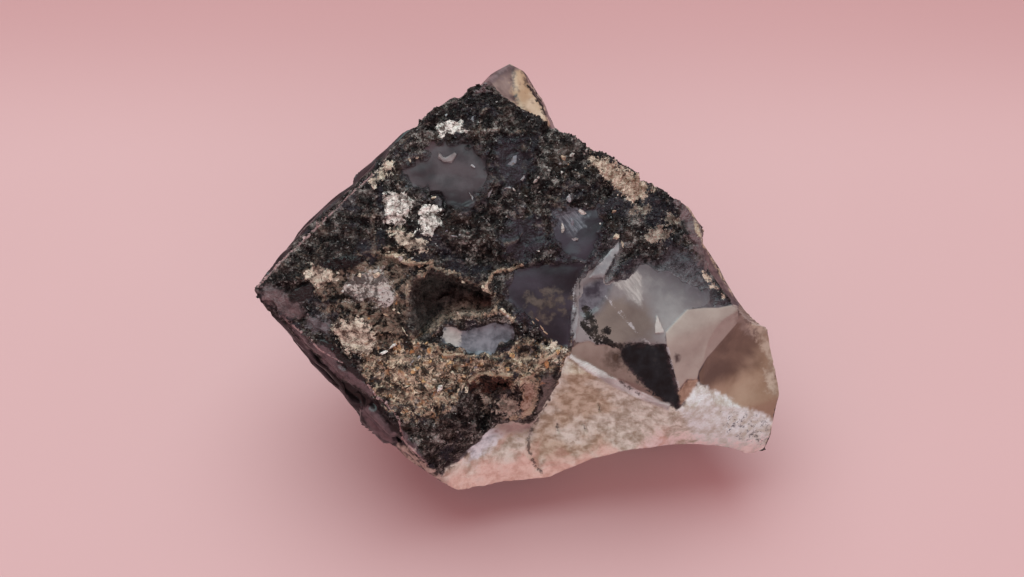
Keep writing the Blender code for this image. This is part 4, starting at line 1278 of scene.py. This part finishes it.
def skin_mesh():
    """The whole outside: the fine rays drawn out, then moved along the normals by the relief.

    On the crust the relief is its raised ground and its grain, less on chips, on glassy spots
    and where the surface is seen from the side, and its crests. Elsewhere it is the relief of
    the clean break. The thin ledges of the sides are added to both.
    """
    directions, faces = ray_rings()
    smooth = fine_outside(directions)
    mesh = mesh_from(NODE + "_skin", smooth, faces)
    to_eye = np.array((0.0, 0.0, EYE_UP)) - smooth
    to_eye /= np.linalg.norm(to_eye, axis=1, keepdims=True)
    normals = normals_of(mesh)
    facing = (normals * to_eye).sum(axis=1)
    front = eased(facing, *FACING_FRONT)
    spots = sighted(smooth)
    wild = 1 + DISH_FRAY * eased(depth_inside(spots, CLEAR_DISH), *DISH_FRAY_EDGE)
    ragged = spots + bends(smooth, CRUST_FRAYS) * wild[:, None]
    cover = fine_cover(smooth, spots, ragged, facing)
    smoothed = eased(depth_in_any(ragged, SMOOTH_SPOTS, 1.0), *SMOOTH_EDGE)
    chips = eased(depth_in_any(ragged, CHIPS, 1.0), *CHIPS_EDGE)
    glassy = eased(depth_in_any(ragged, (MID_GLASS, BLUE_DARK), 1.0), *GLASSY_EDGE)
    stiller = np.maximum(np.maximum(smoothed, CHIPS_STILL * chips), GLASSY_STILL * glassy)
    still = 1 - front * stiller
    calm = CALM + (1 - CALM) * eased(facing, *CALM_FACING)
    rise = CRUST_RISE + CHIPS_RISE * front * chips
    rise -= RIGHT_GLASS_SINKS * front * eased(depth_inside(spots, RIGHT_GLASS), *RIGHT_GLASS_EDGE)
    crest = crests(smooth, spots) * cover
    outward = cover * (rise + still * calm * crust_grain(smooth)) + CREST_HEIGHT * crest
    outward = outward + (1 - cover) * clean_relief(smooth, spots, front) + side_ledges(smooth)
    move_points(mesh, smooth + normals * outward[:, None])
    for name, values in (("facing", facing), ("cover", cover), ("crest", crest), ("still", still)):
        note(mesh, name, values)
    return mesh


def thinned(mesh, keep):
    """The mesh with fewer triangles: the unseen back gives up more of them than the front."""
    source = bpy.data.objects.new("fine skin", mesh)
    bpy.context.scene.collection.objects.link(source)
    group = source.vertex_groups.new(name="give up")
    facing = noted(mesh, "facing")
    for level, share in GIVE_UP:
        group.add(np.nonzero(facing >= level)[0].tolist(), share, "REPLACE")
    thin = source.modifiers.new("thin", "DECIMATE")
    thin.ratio = keep / len(mesh.polygons)
    thin.vertex_group = group.name
    thin.vertex_group_factor = 1.0
    graph = bpy.context.evaluated_depsgraph_get()
    made = bpy.data.meshes.new_from_object(source.evaluated_get(graph))
    bpy.data.objects.remove(source)
    bpy.data.meshes.remove(mesh)
    return made


def mark_patches(mesh, points, facing):
    """Notes at every vertex how deep it lies inside each patch, in millimetres, and how many
    widths it is from the nearest of each kind of line. Nothing is noted on unseen sides."""
    spots = sighted(points)
    ragged = spots + bends(points, PATCH_FRAYS)
    seen = eased(facing, *PATCH_FACING)
    for name, (clip, *outlines) in PATCHES.items():
        depth = depth_in_any(ragged if name in RAGGED else spots, outlines, clip)
        note(mesh, name, depth * seen - clip * (1 - seen))
    for name, lines in LINES.items():
        note(mesh, name, distance_to_lines(spots, lines) + FAR * (1 - seen))
    pale = depth_in_any(ragged, CHIPS, PALE_REACH)
    note(mesh, "pale", pale * seen - PALE_REACH * (1 - seen))
    left = eased(-points[:, 0], *LEFT_SIDES_FROM) * eased(points[:, 2], *LEFT_SIDES_DOWN)
    note(mesh, "behind", (1 - seen) * (1 - left))


def stone_skin():
    """The thinned skin with its notes, stood upright in metres and kept off the table."""
    mesh = thinned(skin_mesh(), MOST_TRIANGLES)
    mark_patches(mesh, points_of(mesh), noted(mesh, "facing"))
    mesh.transform(Matrix.Scale(MM, 4) @ PLACE)
    settled = points_of(mesh)
    settled[:, 2] = np.maximum(settled[:, 2], 0.0)
    move_points(mesh, settled)
    mesh.update()
    mesh.shade_smooth()
    mesh.set_sharp_from_angle(angle=SMOOTHED_TO)
    return mesh


def as_light(seen):
    """Colour shares as they are seen, in the numbers that light is reckoned in."""
    return np.where(seen <= 0.04045, seen / 12.92, ((seen + 0.055) / 1.055) ** 2.4)


def paint(red, green, blue):
    """The colour for a surface, given as it is seen, each part from 0 to 255."""
    return (*(float(part) for part in as_light(np.array((red, green, blue)) / 255.0)), 1.0)


class Finish:
    """A material, and short names for the nodes that make it."""

    def __init__(self, name):
        self.material = bpy.data.materials.new(name)
        self.material.use_nodes = True
        self.tree = self.material.node_tree
        self.surface = self.tree.nodes["Principled BSDF"]

    def node(self, kind, **settings):
        made = self.tree.nodes.new(kind)
        for key, value in settings.items():
            setattr(made, key, value)
        return made

    def feed(self, socket, value):
        if isinstance(value, bpy.types.NodeSocket):
            self.tree.links.new(value, socket)
        else:
            socket.default_value = value

    def math(self, operation, *values, clamp=False):
        made = self.node("ShaderNodeMath", operation=operation, use_clamp=clamp)
        for socket, value in zip(made.inputs, values):
            self.feed(socket, value)
        return made.outputs[0]

    def vector(self, operation, *values):
        made = self.node("ShaderNodeVectorMath", operation=operation)
        for socket, value in zip(made.inputs, values):
            self.feed(socket, value)
        return made.outputs["Value" if operation == "DOT_PRODUCT" else "Vector"]

    def slope(self, value, low, high, to_low=0.0, to_high=1.0):
        made = self.node("ShaderNodeMapRange", interpolation_type="SMOOTHSTEP")
        for socket, given in zip(made.inputs, (value, low, high, to_low, to_high)):
            self.feed(socket, given)
        return made.outputs[0]

    def colours(self, share, below, above):
        made = self.node("ShaderNodeMix", data_type="RGBA")
        self.feed(made.inputs["Factor"], share)
        self.feed(made.inputs[6], below)
        self.feed(made.inputs[7], above)
        return made.outputs[2]

    def numbers(self, share, below, above):
        made = self.node("ShaderNodeMix", data_type="FLOAT")
        for socket, value in zip(made.inputs[:1] + made.inputs[2:4], (share, below, above)):
            self.feed(socket, value)
        return made.outputs[0]

    def noted(self, name):
        return self.node("ShaderNodeAttribute", attribute_name=name).outputs["Fac"]

    def noise(self, where, size, detail=3.0, roughness=0.55, twist=0.0):
        made = self.node("ShaderNodeTexNoise")
        settings = {"Vector": where, "Scale": 1 / size, "Detail": detail}
        settings.update({"Roughness": roughness, "Distortion": twist})
        for key, value in settings.items():
            self.feed(made.inputs[key], value)
        return made.outputs["Fac"]

    def first_part(self, colour):
        made = self.node("ShaderNodeSeparateColor")
        self.feed(made.inputs[0], colour)
        return made.outputs[0]

    def patchy(self, where, look, edge, strength=1.0):
        """Patches of a noise: 0 below the edge's first value, the strength above its second."""
        return self.slope(self.noise(where, *look), *edge, 0.0, strength)

    def raise_by(self, height, reach):
        """Gives the surface a relief of the height, whose full reach is in millimetres."""
        bump = self.node("ShaderNodeBump")
        bump.inputs["Distance"].default_value = reach * MM
        self.feed(bump.inputs["Height"], height)
        self.feed(self.surface.inputs["Normal"], bump.outputs["Normal"])
        return bump

    def wear(self, looks, height, reach):
        """Gives the surface its colour, roughness and gloss, and a relief of the height."""
        for key, look in zip(("Base Color", "Roughness", "Coat Weight"), looks):
            self.feed(self.surface.inputs[key], look)
        for key, value in STONE_SHEEN.items():
            self.surface.inputs[key].default_value = value
        self.raise_by(height, reach).inputs["Strength"].default_value = STONE_BUMP

    def elsewhere(self, where, step):
        """The same place moved far off, so that its noise isn't seen twice."""
        return self.vector("ADD", where, tuple(far * step for far in FAR_OFF))

    def cells(self, where, size):
        made = self.node("ShaderNodeTexVoronoi", feature="F1")
        self.feed(made.inputs["Vector"], where)
        self.feed(made.inputs["Scale"], 1 / size)
        return made

    def ramp(self, value, stops):
        made = self.node("ShaderNodeValToRGB")
        band = made.color_ramp
        while len(band.elements) < len(stops):
            band.elements.new(0.5)
        for element, (at, colour) in zip(band.elements, stops):
            element.position = at
            element.color = paint(*colour)
        self.feed(made.inputs[0], value)
        return made.outputs["Color"]

    def face_place(self):
        """Where a spot lies in the frame of the broad face, in millimetres."""
        place = self.node("ShaderNodeTexCoord").outputs["Object"]
        made = self.node("ShaderNodeCombineXYZ")
        axes = PLACE.to_3x3().transposed()
        for socket, axis in zip(made.inputs, axes):
            self.feed(socket, self.vector("DOT_PRODUCT", place, tuple(axis / MM)))
        return made.outputs[0]

    def stretched(self, where, turn, stretch):
        made = self.node("ShaderNodeMapping", vector_type="TEXTURE")
        self.feed(made.inputs["Vector"], where)
        made.inputs["Rotation"].default_value = (0.0, 0.0, turn)
        made.inputs["Scale"].default_value = stretch
        return made.outputs[0]

    def between(self, share, low, high):
        """A colour between two that are given as they are seen."""
        return self.colours(share, paint(*low), paint(*high))

    def over(self, share, below, above):
        """The looks above over the looks below: colour, roughness and gloss."""
        return (
            self.colours(share, below[0], above[0]),
            self.numbers(share, below[1], above[1]),
            self.numbers(share, below[2], above[2]),
        )

    def tinted(self, colour, place, tints, limit=None):
        """The colour under one patchy tint after another, where the limit lets them show."""
        for step, look, edge, strength, shade in tints:
            share = self.patchy(self.elsewhere(place, step), look, edge, strength)
            if limit is not None:
                share = self.math("MULTIPLY", share, limit)
            colour = self.colours(share, colour, paint(*shade))
        return colour

    def lined(self, colour, bend, lines):
        """The colour under one kind of line after another, each with a wavering width."""
        for name, waver, far, near, strength, shade in lines:
            line = self.math("MULTIPLY_ADD", bend, waver, self.noted(name))
            share = self.slope(line, far, near, 0.0, strength)
            colour = self.colours(share, colour, paint(*shade))
        return colour


def lay(finish, looks, layer, kinds, limit=None):
    """One patch over the looks so far: its mask is the depth inside its outline, roughened by
    a noise and eased from 0 to 1 over its edge; its colour runs between two by another."""
    name, low, high, varied, soft, ragged, broken, roughness, coat = layer
    push = finish.math("MULTIPLY_ADD", kinds[broken], 2 * ragged, -ragged)
    mask = finish.slope(finish.math("ADD", finish.noted(name), push), -soft, soft)
    if limit is not None:
        mask = finish.math("MULTIPLY", mask, limit)
    return finish.over(mask, looks, (finish.between(kinds[varied], low, high), roughness, coat))


def noises(finish, place):
    """The unevennesses that the patches are painted with, each from 0 to 1."""
    places = {
        "streak": finish.stretched(place, STREAK_TURN, STREAK_STRETCH),
        "clump": finish.elsewhere(place, CLUMPS_PLACE),
    }
    return {
        kind: finish.patchy(places.get(kind, place), look, edge)
        for kind, (look, edge) in NOISES.items()
    }


def clean_stone(name):
    """The finish of every clean break: one patch of the stone over the other."""
    finish = Finish(name)
    place = finish.face_place()
    kinds = noises(finish, place)
    looks = sides_and_back(finish, place, kinds)
    for layer in UNDER_CRUST:
        looks = lay(finish, looks, layer, kinds)
    looks = speckle(finish, looks, place)
    for layer in OVER_ALL:
        looks = lay(finish, looks, layer, kinds)
    bend = wavering(finish, kinds)
    looks = (finish.lined(looks[0], bend, STONE_LINES), *looks[1:])
    looks = moss_and_edge_lines(finish, looks, kinds, bend)
    ripple = finish.math("MULTIPLY_ADD", kinds["fine"], FINE_RIPPLE, finish.noise(place, *SLOW_RIPPLE))
    chalk = finish.slope(finish.noted("cream"), *CHALK_RIPPLE)
    ripple = finish.math("MULTIPLY_ADD", kinds["fine"], chalk, ripple)
    finish.wear(looks, ripple, STONE_REACH)
    return finish.material


def crusty_stone(name, crumbs=False):
    """The finish of the dark crust, and of the clear stone where the crust ends. Crumbs take
    their shade from a number of their own; on the skin it comes from small cells."""
    finish = Finish(name)
    place = finish.face_place()
    cells, small = (finish.cells(place, size) for size in CRUST_CELLS)
    kinds = noises(finish, place)
    kinds["grain"] = finish.noted("shade") if crumbs else shade_of_cells(finish, cells, small)
    gloss = finish.slope(small.outputs["Distance"], *CRUST_GLOSS)
    looks = (dark_crust(finish, place, kinds), gloss, 0.0)
    crust = 1.0
    if not crumbs:
        frayed = finish.math("MULTIPLY_ADD", kinds["frac"], *COVER_FRAY)
        frayed = finish.math("MULTIPLY", finish.noted("cover"), frayed)
        crust = finish.slope(frayed, *COVER_EDGE)
        under = sides_and_back(finish, place, kinds)
        for layer in UNDER_CRUST:
            if layer[0] in CRUST_MEETS:
                under = lay(finish, under, layer, kinds)
        looks = finish.over(crust, under, looks)
    for layer in ON_CRUST:
        looks = lay(finish, looks, layer, kinds, crust)
    looks = (crust_marks(finish, looks[0], place, kinds, crust), *looks[1:])
    for layer in OVER_ALL:
        looks = lay(finish, looks, layer, kinds)
    looks = (vug_floor(finish, looks[0], kinds), *looks[1:])
    looks = moss_and_edge_lines(finish, looks, kinds, wavering(finish, kinds))
    grains = finish.math("ADD", cells.outputs["Distance"], small.outputs["Distance"])
    grains = finish.math("MULTIPLY_ADD", kinds["fine"], FINE_GRAIN, grains)
    grains = finish.math("MULTIPLY", grains, crust)
    finish.wear(looks, grains, CRUMB_REACH if crumbs else STONE_REACH)
    return finish.material


def shade_of_cells(finish, cells, small):
    """A number that differs from cell to cell, the sum of shares of two nets."""
    large, little = (finish.first_part(net.outputs["Color"]) for net in (cells, small))
    little = finish.math("MULTIPLY", little, SMALL_CELLS_SHARE)
    return finish.math("MULTIPLY_ADD", large, CELLS_SHARE, little)


def dark_crust(finish, place, kinds):
    """Black to brown by grain upon grain, bluish here and there, with a few pale flecks of painted
    glint.
    """
    value = 0.0
    for kind, share in CRUST_SHARES:
        value = finish.math("MULTIPLY_ADD", kinds[kind], share, value)
    return finish.tinted(finish.ramp(value, CRUST_SHADES), place, CRUST_TINTS_AND_GLINTS)


def crust_marks(finish, colour, place, kinds, crust):
    """Pits in the pale chips; cream and rust flakes in the golden corner; pale lips."""
    chips = finish.slope(finish.noted("pale"), *PITTED_CHIPS)
    colour = finish.tinted(colour, place, CHIP_TINTS, chips)
    in_gold = finish.noted("gold")
    golden = finish.slope(finish.math("MULTIPLY_ADD", kinds["mid"], GOLD_FRAY, in_gold), *GOLD_EDGE)
    colour = finish.tinted(colour, place, GOLD_TINTS, finish.math("MULTIPLY", golden, crust))
    tan = finish.between(kinds["mid"], *CREST_COLOURS)
    tan = finish.colours(finish.slope(in_gold, *GOLD_NEAR), tan, paint(*GOLD_CREST_COLOUR))
    share = finish.slope(finish.noted("crest"), *CREST_TINT)
    share = finish.math("MULTIPLY", share, finish.math("MULTIPLY", kinds["frac"], crust))
    colour = finish.colours(share, colour, tan)
    worn = finish.math("MULTIPLY_ADD", kinds["frac"], LIP_WEAR, finish.noted("lips"))
    share = finish.math("MULTIPLY", finish.slope(worn, *LIP_TINT), crust)
    return finish.colours(share, colour, finish.between(kinds["mid"], *LIP_COLOURS))


def vug_floor(finish, colour, kinds):
    """Brown grain on the vug's floor, fading towards the painted shade of its upper wall under the lip.
    """
    deep = finish.slope(finish.noted("vug"), *VUG_FLOOR)
    deep = finish.math("MULTIPLY", deep, finish.slope(finish.noted("vug_painted_shade"), *VUG_PAINTED_SHADE_EDGE))
    return finish.colours(deep, colour, finish.between(kinds["frac"], *VUG_COLOURS))


def sides_and_back(finish, place, kinds):
    """Black glassy sides on the left; behind, smoky opal with a chalky rind and dark moss,
    which is drawn where a noise passes through its middle."""
    glass = finish.between(kinds["cloud"], *GLASS_COLOURS)
    back = finish.between(kinds["cloud"], *SMOKY_COLOURS)
    rind = finish.between(kinds["mid"], *RIND_COLOURS)
    rinded = finish.patchy(place, *RIND_PATCHES)
    back, rough, gloss = finish.over(rinded, (back, *SMOKY_SHEEN), (rind, *RIND_SHEEN))
    apart = finish.math("SUBTRACT", finish.noise(place, *BACK_MOSS), 0.5)
    lines = finish.slope(finish.math("ABSOLUTE", apart), *BACK_MOSS_LINES)
    lines = finish.math("MULTIPLY", lines, finish.patchy(place, *BACK_MOSS_PATCHES))
    back = finish.colours(lines, back, paint(*BACK_MOSS_COLOUR))
    return finish.over(finish.noted("behind"), (glass, *GLASS_SHEEN), (back, rough, gloss))


def speckle(finish, looks, place):
    """Blue-black specks, thick in one patch of the white rind and sparse over the cream."""
    thick = finish.patchy(place, *THICK_SPECKS)
    thick = finish.math("MULTIPLY", thick, finish.slope(finish.noted("specks"), *THICK_SPECKS_EDGE))
    stray = finish.patchy(place, *STRAY_SPECKS)
    stray = finish.math("MULTIPLY", stray, finish.slope(finish.noted("cream"), *STRAY_SPECKS_EDGE))
    mask = finish.math("MULTIPLY", finish.math("MAXIMUM", thick, stray), SPECKS_STRENGTH)
    return (finish.colours(mask, looks[0], paint(*SPECKS_COLOUR)), *looks[1:])


def wavering(finish, kinds):
    """What is added to the width of a line."""
    return finish.math("MULTIPLY_ADD", kinds["frac"], *LINE_WAVER)


def moss_and_edge_lines(finish, looks, kinds, bend):
    """The dark moss lines, which are dull, and the pale lines of the edges, of which the pink one on the
    left lip is a painted highlight.
    """
    near = finish.math("MULTIPLY_ADD", bend, MOSS_WAVER, finish.noted("dendrite"))
    dark = finish.between(kinds["frac"], *MOSS_COLOURS)
    colour, rough, gloss = finish.over(finish.slope(near, *MOSS_EDGE), looks, (dark, *MOSS_SHEEN))
    return finish.lined(colour, bend, EDGE_LINES), rough, gloss


def floor_card():
    """The floor's finish: one paint with the faint unevenness of card, and a painted shade that darkens
    it far behind.
    """
    finish = Finish("floor card")
    place = finish.node("ShaderNodeTexCoord").outputs["Object"]
    near = paint(*FLOOR_COLOUR)
    low = (*(FLOOR_LOW * part for part in near[:3]), 1.0)
    far = tuple(part * share for part, share in zip(near, FLOOR_SHADE_FAR))
    card = finish.colours(finish.noise(place, FLOOR_GRAIN), low, near)
    behind = finish.slope(finish.vector("DOT_PRODUCT", place, (0.0, 1.0, 0.0)), *FLOOR_SHADE_FADES)
    finish.feed(finish.surface.inputs["Base Color"], finish.colours(behind, card, far))
    finish.surface.inputs["Roughness"].default_value = FLOOR_ROUGHNESS
    return finish.material


def crumb_spots(skin, points, corners, area, size):
    """How likely each triangle is to carry a crumb: by its area, if it is crusted and neither
    smooth, deep in the vug, near the table nor seen from its edge; less in the golden corner
    and on sides that look away."""
    covered = (noted(skin, "cover") * noted(skin, "still"))[corners].min(axis=1) > COVERED
    covered &= (noted(skin, "vug")[corners].max(axis=1) < VUG_BARE) | (size < SMALL_CRUMB)
    facing = noted(skin, "facing")[corners].mean(axis=1)
    away = np.where(facing < CRUMBS_AWAY, CRUMBS_BEHIND, 0.0)
    weight = area * covered * np.where(facing > CRUMBS_FACING, 1.0, away)
    weight *= np.where(noted(skin, "gold")[corners].max(axis=1) > 0, CRUMBS_IN_GOLD, 1.0)
    weight *= points[corners, 2].min(axis=1) > CRUMBS_OVER_FLOOR
    return weight / weight.sum()


def crumb_pieces(skin, name, count, sizes, thinness, seed):
    """Angular crumbs on the crust: boxes whose eight corners are each moved a little, turned
    any way and half sunk, on spots chosen evenly over the crust's triangles."""
    rng = np.random.default_rng(seed)
    points = points_of(skin) / MM
    corners = corners_of(skin)
    a, b, c = (points[corners[:, step]] for step in range(3))
    across = np.cross(b - a, c - a)
    area = np.linalg.norm(across, axis=1)
    chosen = rng.choice(len(corners), count, p=crumb_spots(skin, points, corners, area, sizes[0]))
    s, t = rng.random((2, count, 1))
    flip = s + t > 1
    s, t = np.where(flip, 1 - s, s), np.where(flip, 1 - t, t)
    middle = a[chosen] + s * (b - a)[chosen] + t * (c - a)[chosen]
    outward = across[chosen] / area[chosen, None]
    size = np.exp(rng.normal(math.log(sizes[0]), sizes[1], (count, 1)))
    shape = np.array(list(np.ndindex(2, 2, 2))) * 2.0 - 1.0
    boxes = shape * rng.uniform(*CRUMB_CORNERS, (count, 8, 3))
    boxes *= (size * rng.uniform(*thinness, (count, 3)))[:, None, :] / 2
    turned = np.einsum("nij,nkj->nki", turns(rng.normal(size=(count, 4))), boxes)
    placed = turned + (middle + outward * size * CRUMB_RISE)[:, None, :]
    mesh = many_alike(name, placed, BOX_FACES)
    centre = corners[chosen, 0]
    for key in NOTED:
        note(mesh, key, np.repeat(noted(skin, key)[centre], 8))
    note(mesh, "shade", np.repeat(rng.random(count), 8))
    return mesh


def many_alike(name, placed, faces):
    """One flat-faced mesh of many bodies with the same faces, each with its own points."""
    count, each = placed.shape[:2]
    faces = (np.arange(count)[:, None, None] * each + faces).reshape(-1, 3)
    mesh = mesh_from(name, placed.reshape(-1, 3) * MM, faces)
    mesh.shade_flat()
    return mesh


def shard_faces(sides):
    """The faces of a shard: its points are an upper ring, a lower ring and the top's middle."""
    this = np.arange(sides)
    after = (this + 1) % sides
    return np.concatenate((
        np.column_stack((this, after, np.full(sides, 2 * sides))),
        np.column_stack((this, this + sides, after)),
        np.column_stack((after, this + sides, after + sides)),
        np.column_stack((np.full(sides - 2, sides), after[1:-1] + sides, this[1:-1] + sides)),
    ))


def single_shards(skin):
    """Single flakes laid on the crust: six-cornered shards, each corner drawn in or out by
    its own share, tilted, and sunk by half their thickness."""
    rng = np.random.default_rng(SEED_SHARDS)
    points, normals = points_of(skin) / MM, normals_of(skin)
    own = np.array(PLACE.inverted())
    spots = sighted(points @ own[:3, :3].T + own[:3, 3])
    spots[noted(skin, "facing") < FACING_FRONT[1]] = np.inf
    table = np.array([row[:4] for row in FLAKES]) / 10
    count, sides = len(table), SHARD_SIDES
    at = [int(((spots - row[:2]) ** 2).sum(axis=1).argmin()) for row in table]
    out = normals[at] + SHARD_TILT * rng.normal(size=(count, 3))
    out /= np.linalg.norm(out, axis=1, keepdims=True)
    turn = np.radians([row[4:5] for row in FLAKES])
    face_x, face_y = np.array(PLACE)[:3, 0], np.array(PLACE)[:3, 1]
    along = np.cos(turn) * face_x + np.sin(turn) * face_y
    along -= (along * out).sum(axis=1, keepdims=True) * out
    along /= np.linalg.norm(along, axis=1, keepdims=True)
    across = np.cross(out, along)
    uneven = rng.uniform(-SHARD_TURNS, SHARD_TURNS, (count, sides))
    angle = (np.arange(sides) + uneven) * 2 * np.pi / sides
    reach = rng.uniform(*SHARD_CORNERS, (count, sides)) / 2
    u, v = (np.cos(angle) * reach * table[:, 2:3]), (np.sin(angle) * reach * table[:, 3:4])
    ring = u[..., None] * along[:, None] + v[..., None] * across[:, None] + points[at][:, None]
    height, spread = SHARD_EDGE
    upper = ring + out[:, None] * (height + rng.uniform(-spread, spread, (count, sides, 1)))
    thin, thicker = SHARD_THICKNESS
    lower = ring - out[:, None] * (thin + thicker * table[:, 3])[:, None, None] * 2
    top = points[at][:, None] + out[:, None] * SHARD_TOP
    mesh = many_alike("single_flakes", np.concatenate((upper, lower, top), axis=1), shard_faces(sides))
    shades = [paint(*FLAKE_SHADES[row[5]]) for row in FLAKES]
    colours = np.repeat(np.array(shades, np.float32), 2 * sides + 1, axis=0)
    kept = mesh.attributes.new("flake", "FLOAT_COLOR", "POINT")
    kept.data.foreach_set("color", colours.ravel())
    return mesh


def flake_finish():
    """Each flake has a colour of its own, stained brown and pitted here and there."""
    finish = Finish("single flakes")
    own = finish.node("ShaderNodeAttribute", attribute_name="flake").outputs["Color"]
    worn = finish.noise(finish.face_place(), *SHARD_NOISE)
    stained = finish.colours(finish.slope(worn, *SHARD_STAINS), own, paint(*SHARD_STAIN_COLOUR))
    finish.feed(finish.surface.inputs["Base Color"], stained)
    finish.surface.inputs["Roughness"].default_value = SHARD_ROUGHNESS
    finish.raise_by(worn, SHARD_REACH)
    return finish.material


def turns(parts):
    """The turning matrices of rows of four numbers, each row a quaternion once scaled to 1."""
    w, x, y, z = (parts / np.linalg.norm(parts, axis=1, keepdims=True)).T
    rows = (
        (1 - 2 * (y * y + z * z), 2 * (x * y - z * w), 2 * (x * z + y * w)),
        (2 * (x * y + z * w), 1 - 2 * (x * x + z * z), 2 * (y * z - x * w)),
        (2 * (x * z - y * w), 2 * (y * z + x * w), 1 - 2 * (x * x + y * y)),
    )
    return np.moveaxis(np.array(rows), 2, 0)


def put(name, mesh, *materials):
    mesh.materials.clear()
    for material in materials:
        mesh.materials.append(material)
    piece = bpy.data.objects.new(name, mesh)
    bpy.context.scene.collection.objects.link(piece)
    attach(piece, "root")
    return piece


def lay_floor():
    """A wide level sheet under the stone."""
    half = FLOOR_HALF
    corners = ((-half, -half, 0.0), (half, -half, 0.0), (half, half, 0.0), (-half, half, 0.0))
    mesh = bpy.data.meshes.new("floor")
    mesh.from_pydata(corners, [], [(0, 1, 2, 3)])
    mesh.materials.append(floor_card())
    floor = bpy.data.objects.new("floor", mesh)
    bpy.context.scene.collection.objects.link(floor)


def turned_to(thing, way):
    """Turns a lamp or the camera to look the given way."""
    thing.rotation_mode = "QUATERNION"
    thing.rotation_quaternion = way.to_track_quat("-Z", "Y")


def area_light(name, place, size, energy, colour):
    light = bpy.data.lights.new(name, "AREA")
    light.shape = "DISK"
    light.size = size
    light.energy = energy
    light.color = colour
    lamp = bpy.data.objects.new(name, light)
    lamp.location = place
    turned_to(lamp, Vector(LAMPS_AIM) - lamp.location)
    lamp.visible_glossy = name == "key"
    bpy.context.scene.collection.objects.link(lamp)


def light_stage():
    for lamp in LAMPS:
        area_light(*lamp)
    world = bpy.data.worlds.new("room")
    bpy.context.scene.world = world
    world.use_nodes = True
    sky = world.node_tree.nodes["Background"]
    sky.inputs["Color"].default_value = SKY_COLOUR
    sky.inputs["Strength"].default_value = SKY_STRENGTH
    bpy.context.scene.view_settings.view_transform = "Standard"


def set_camera():
    """The camera looks straight down on the middle of the broad face."""
    data = bpy.data.cameras.new("camera")
    data.sensor_width = 36.0
    data.lens = data.sensor_width * EYE_UP / FRAME_WIDTH
    data.clip_start = 0.01
    camera = bpy.data.objects.new("camera", data)
    out = Vector((0.0, -math.sin(FACE_LEAN), math.cos(FACE_LEAN)))
    camera.location = (Vector(FACE_MIDDLE) + out * EYE_UP) * MM
    turned_to(camera, -out)
    bpy.context.scene.collection.objects.link(camera)
    bpy.context.scene.camera = camera


def main():
    set_camera()
    light_stage()
    lay_floor()
    skin = stone_skin()
    piece = put("opal_skin", skin, clean_stone("clean opal"), crusty_stone("dark crust"))
    covered = noted(skin, "cover")[corners_of(skin)].max(axis=1) > CRUST_SHOWS
    skin.polygons.foreach_set("material_index", covered.astype(np.int32))
    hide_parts(NODE)
    finish = crusty_stone("crust crumbs", crumbs=True)
    for name, count, sizes, thinness, seed in CRUMBS:
        put(name, crumb_pieces(skin, name, count, sizes, thinness, seed), finish)
    put("single_flakes", single_shards(skin), flake_finish())


main()
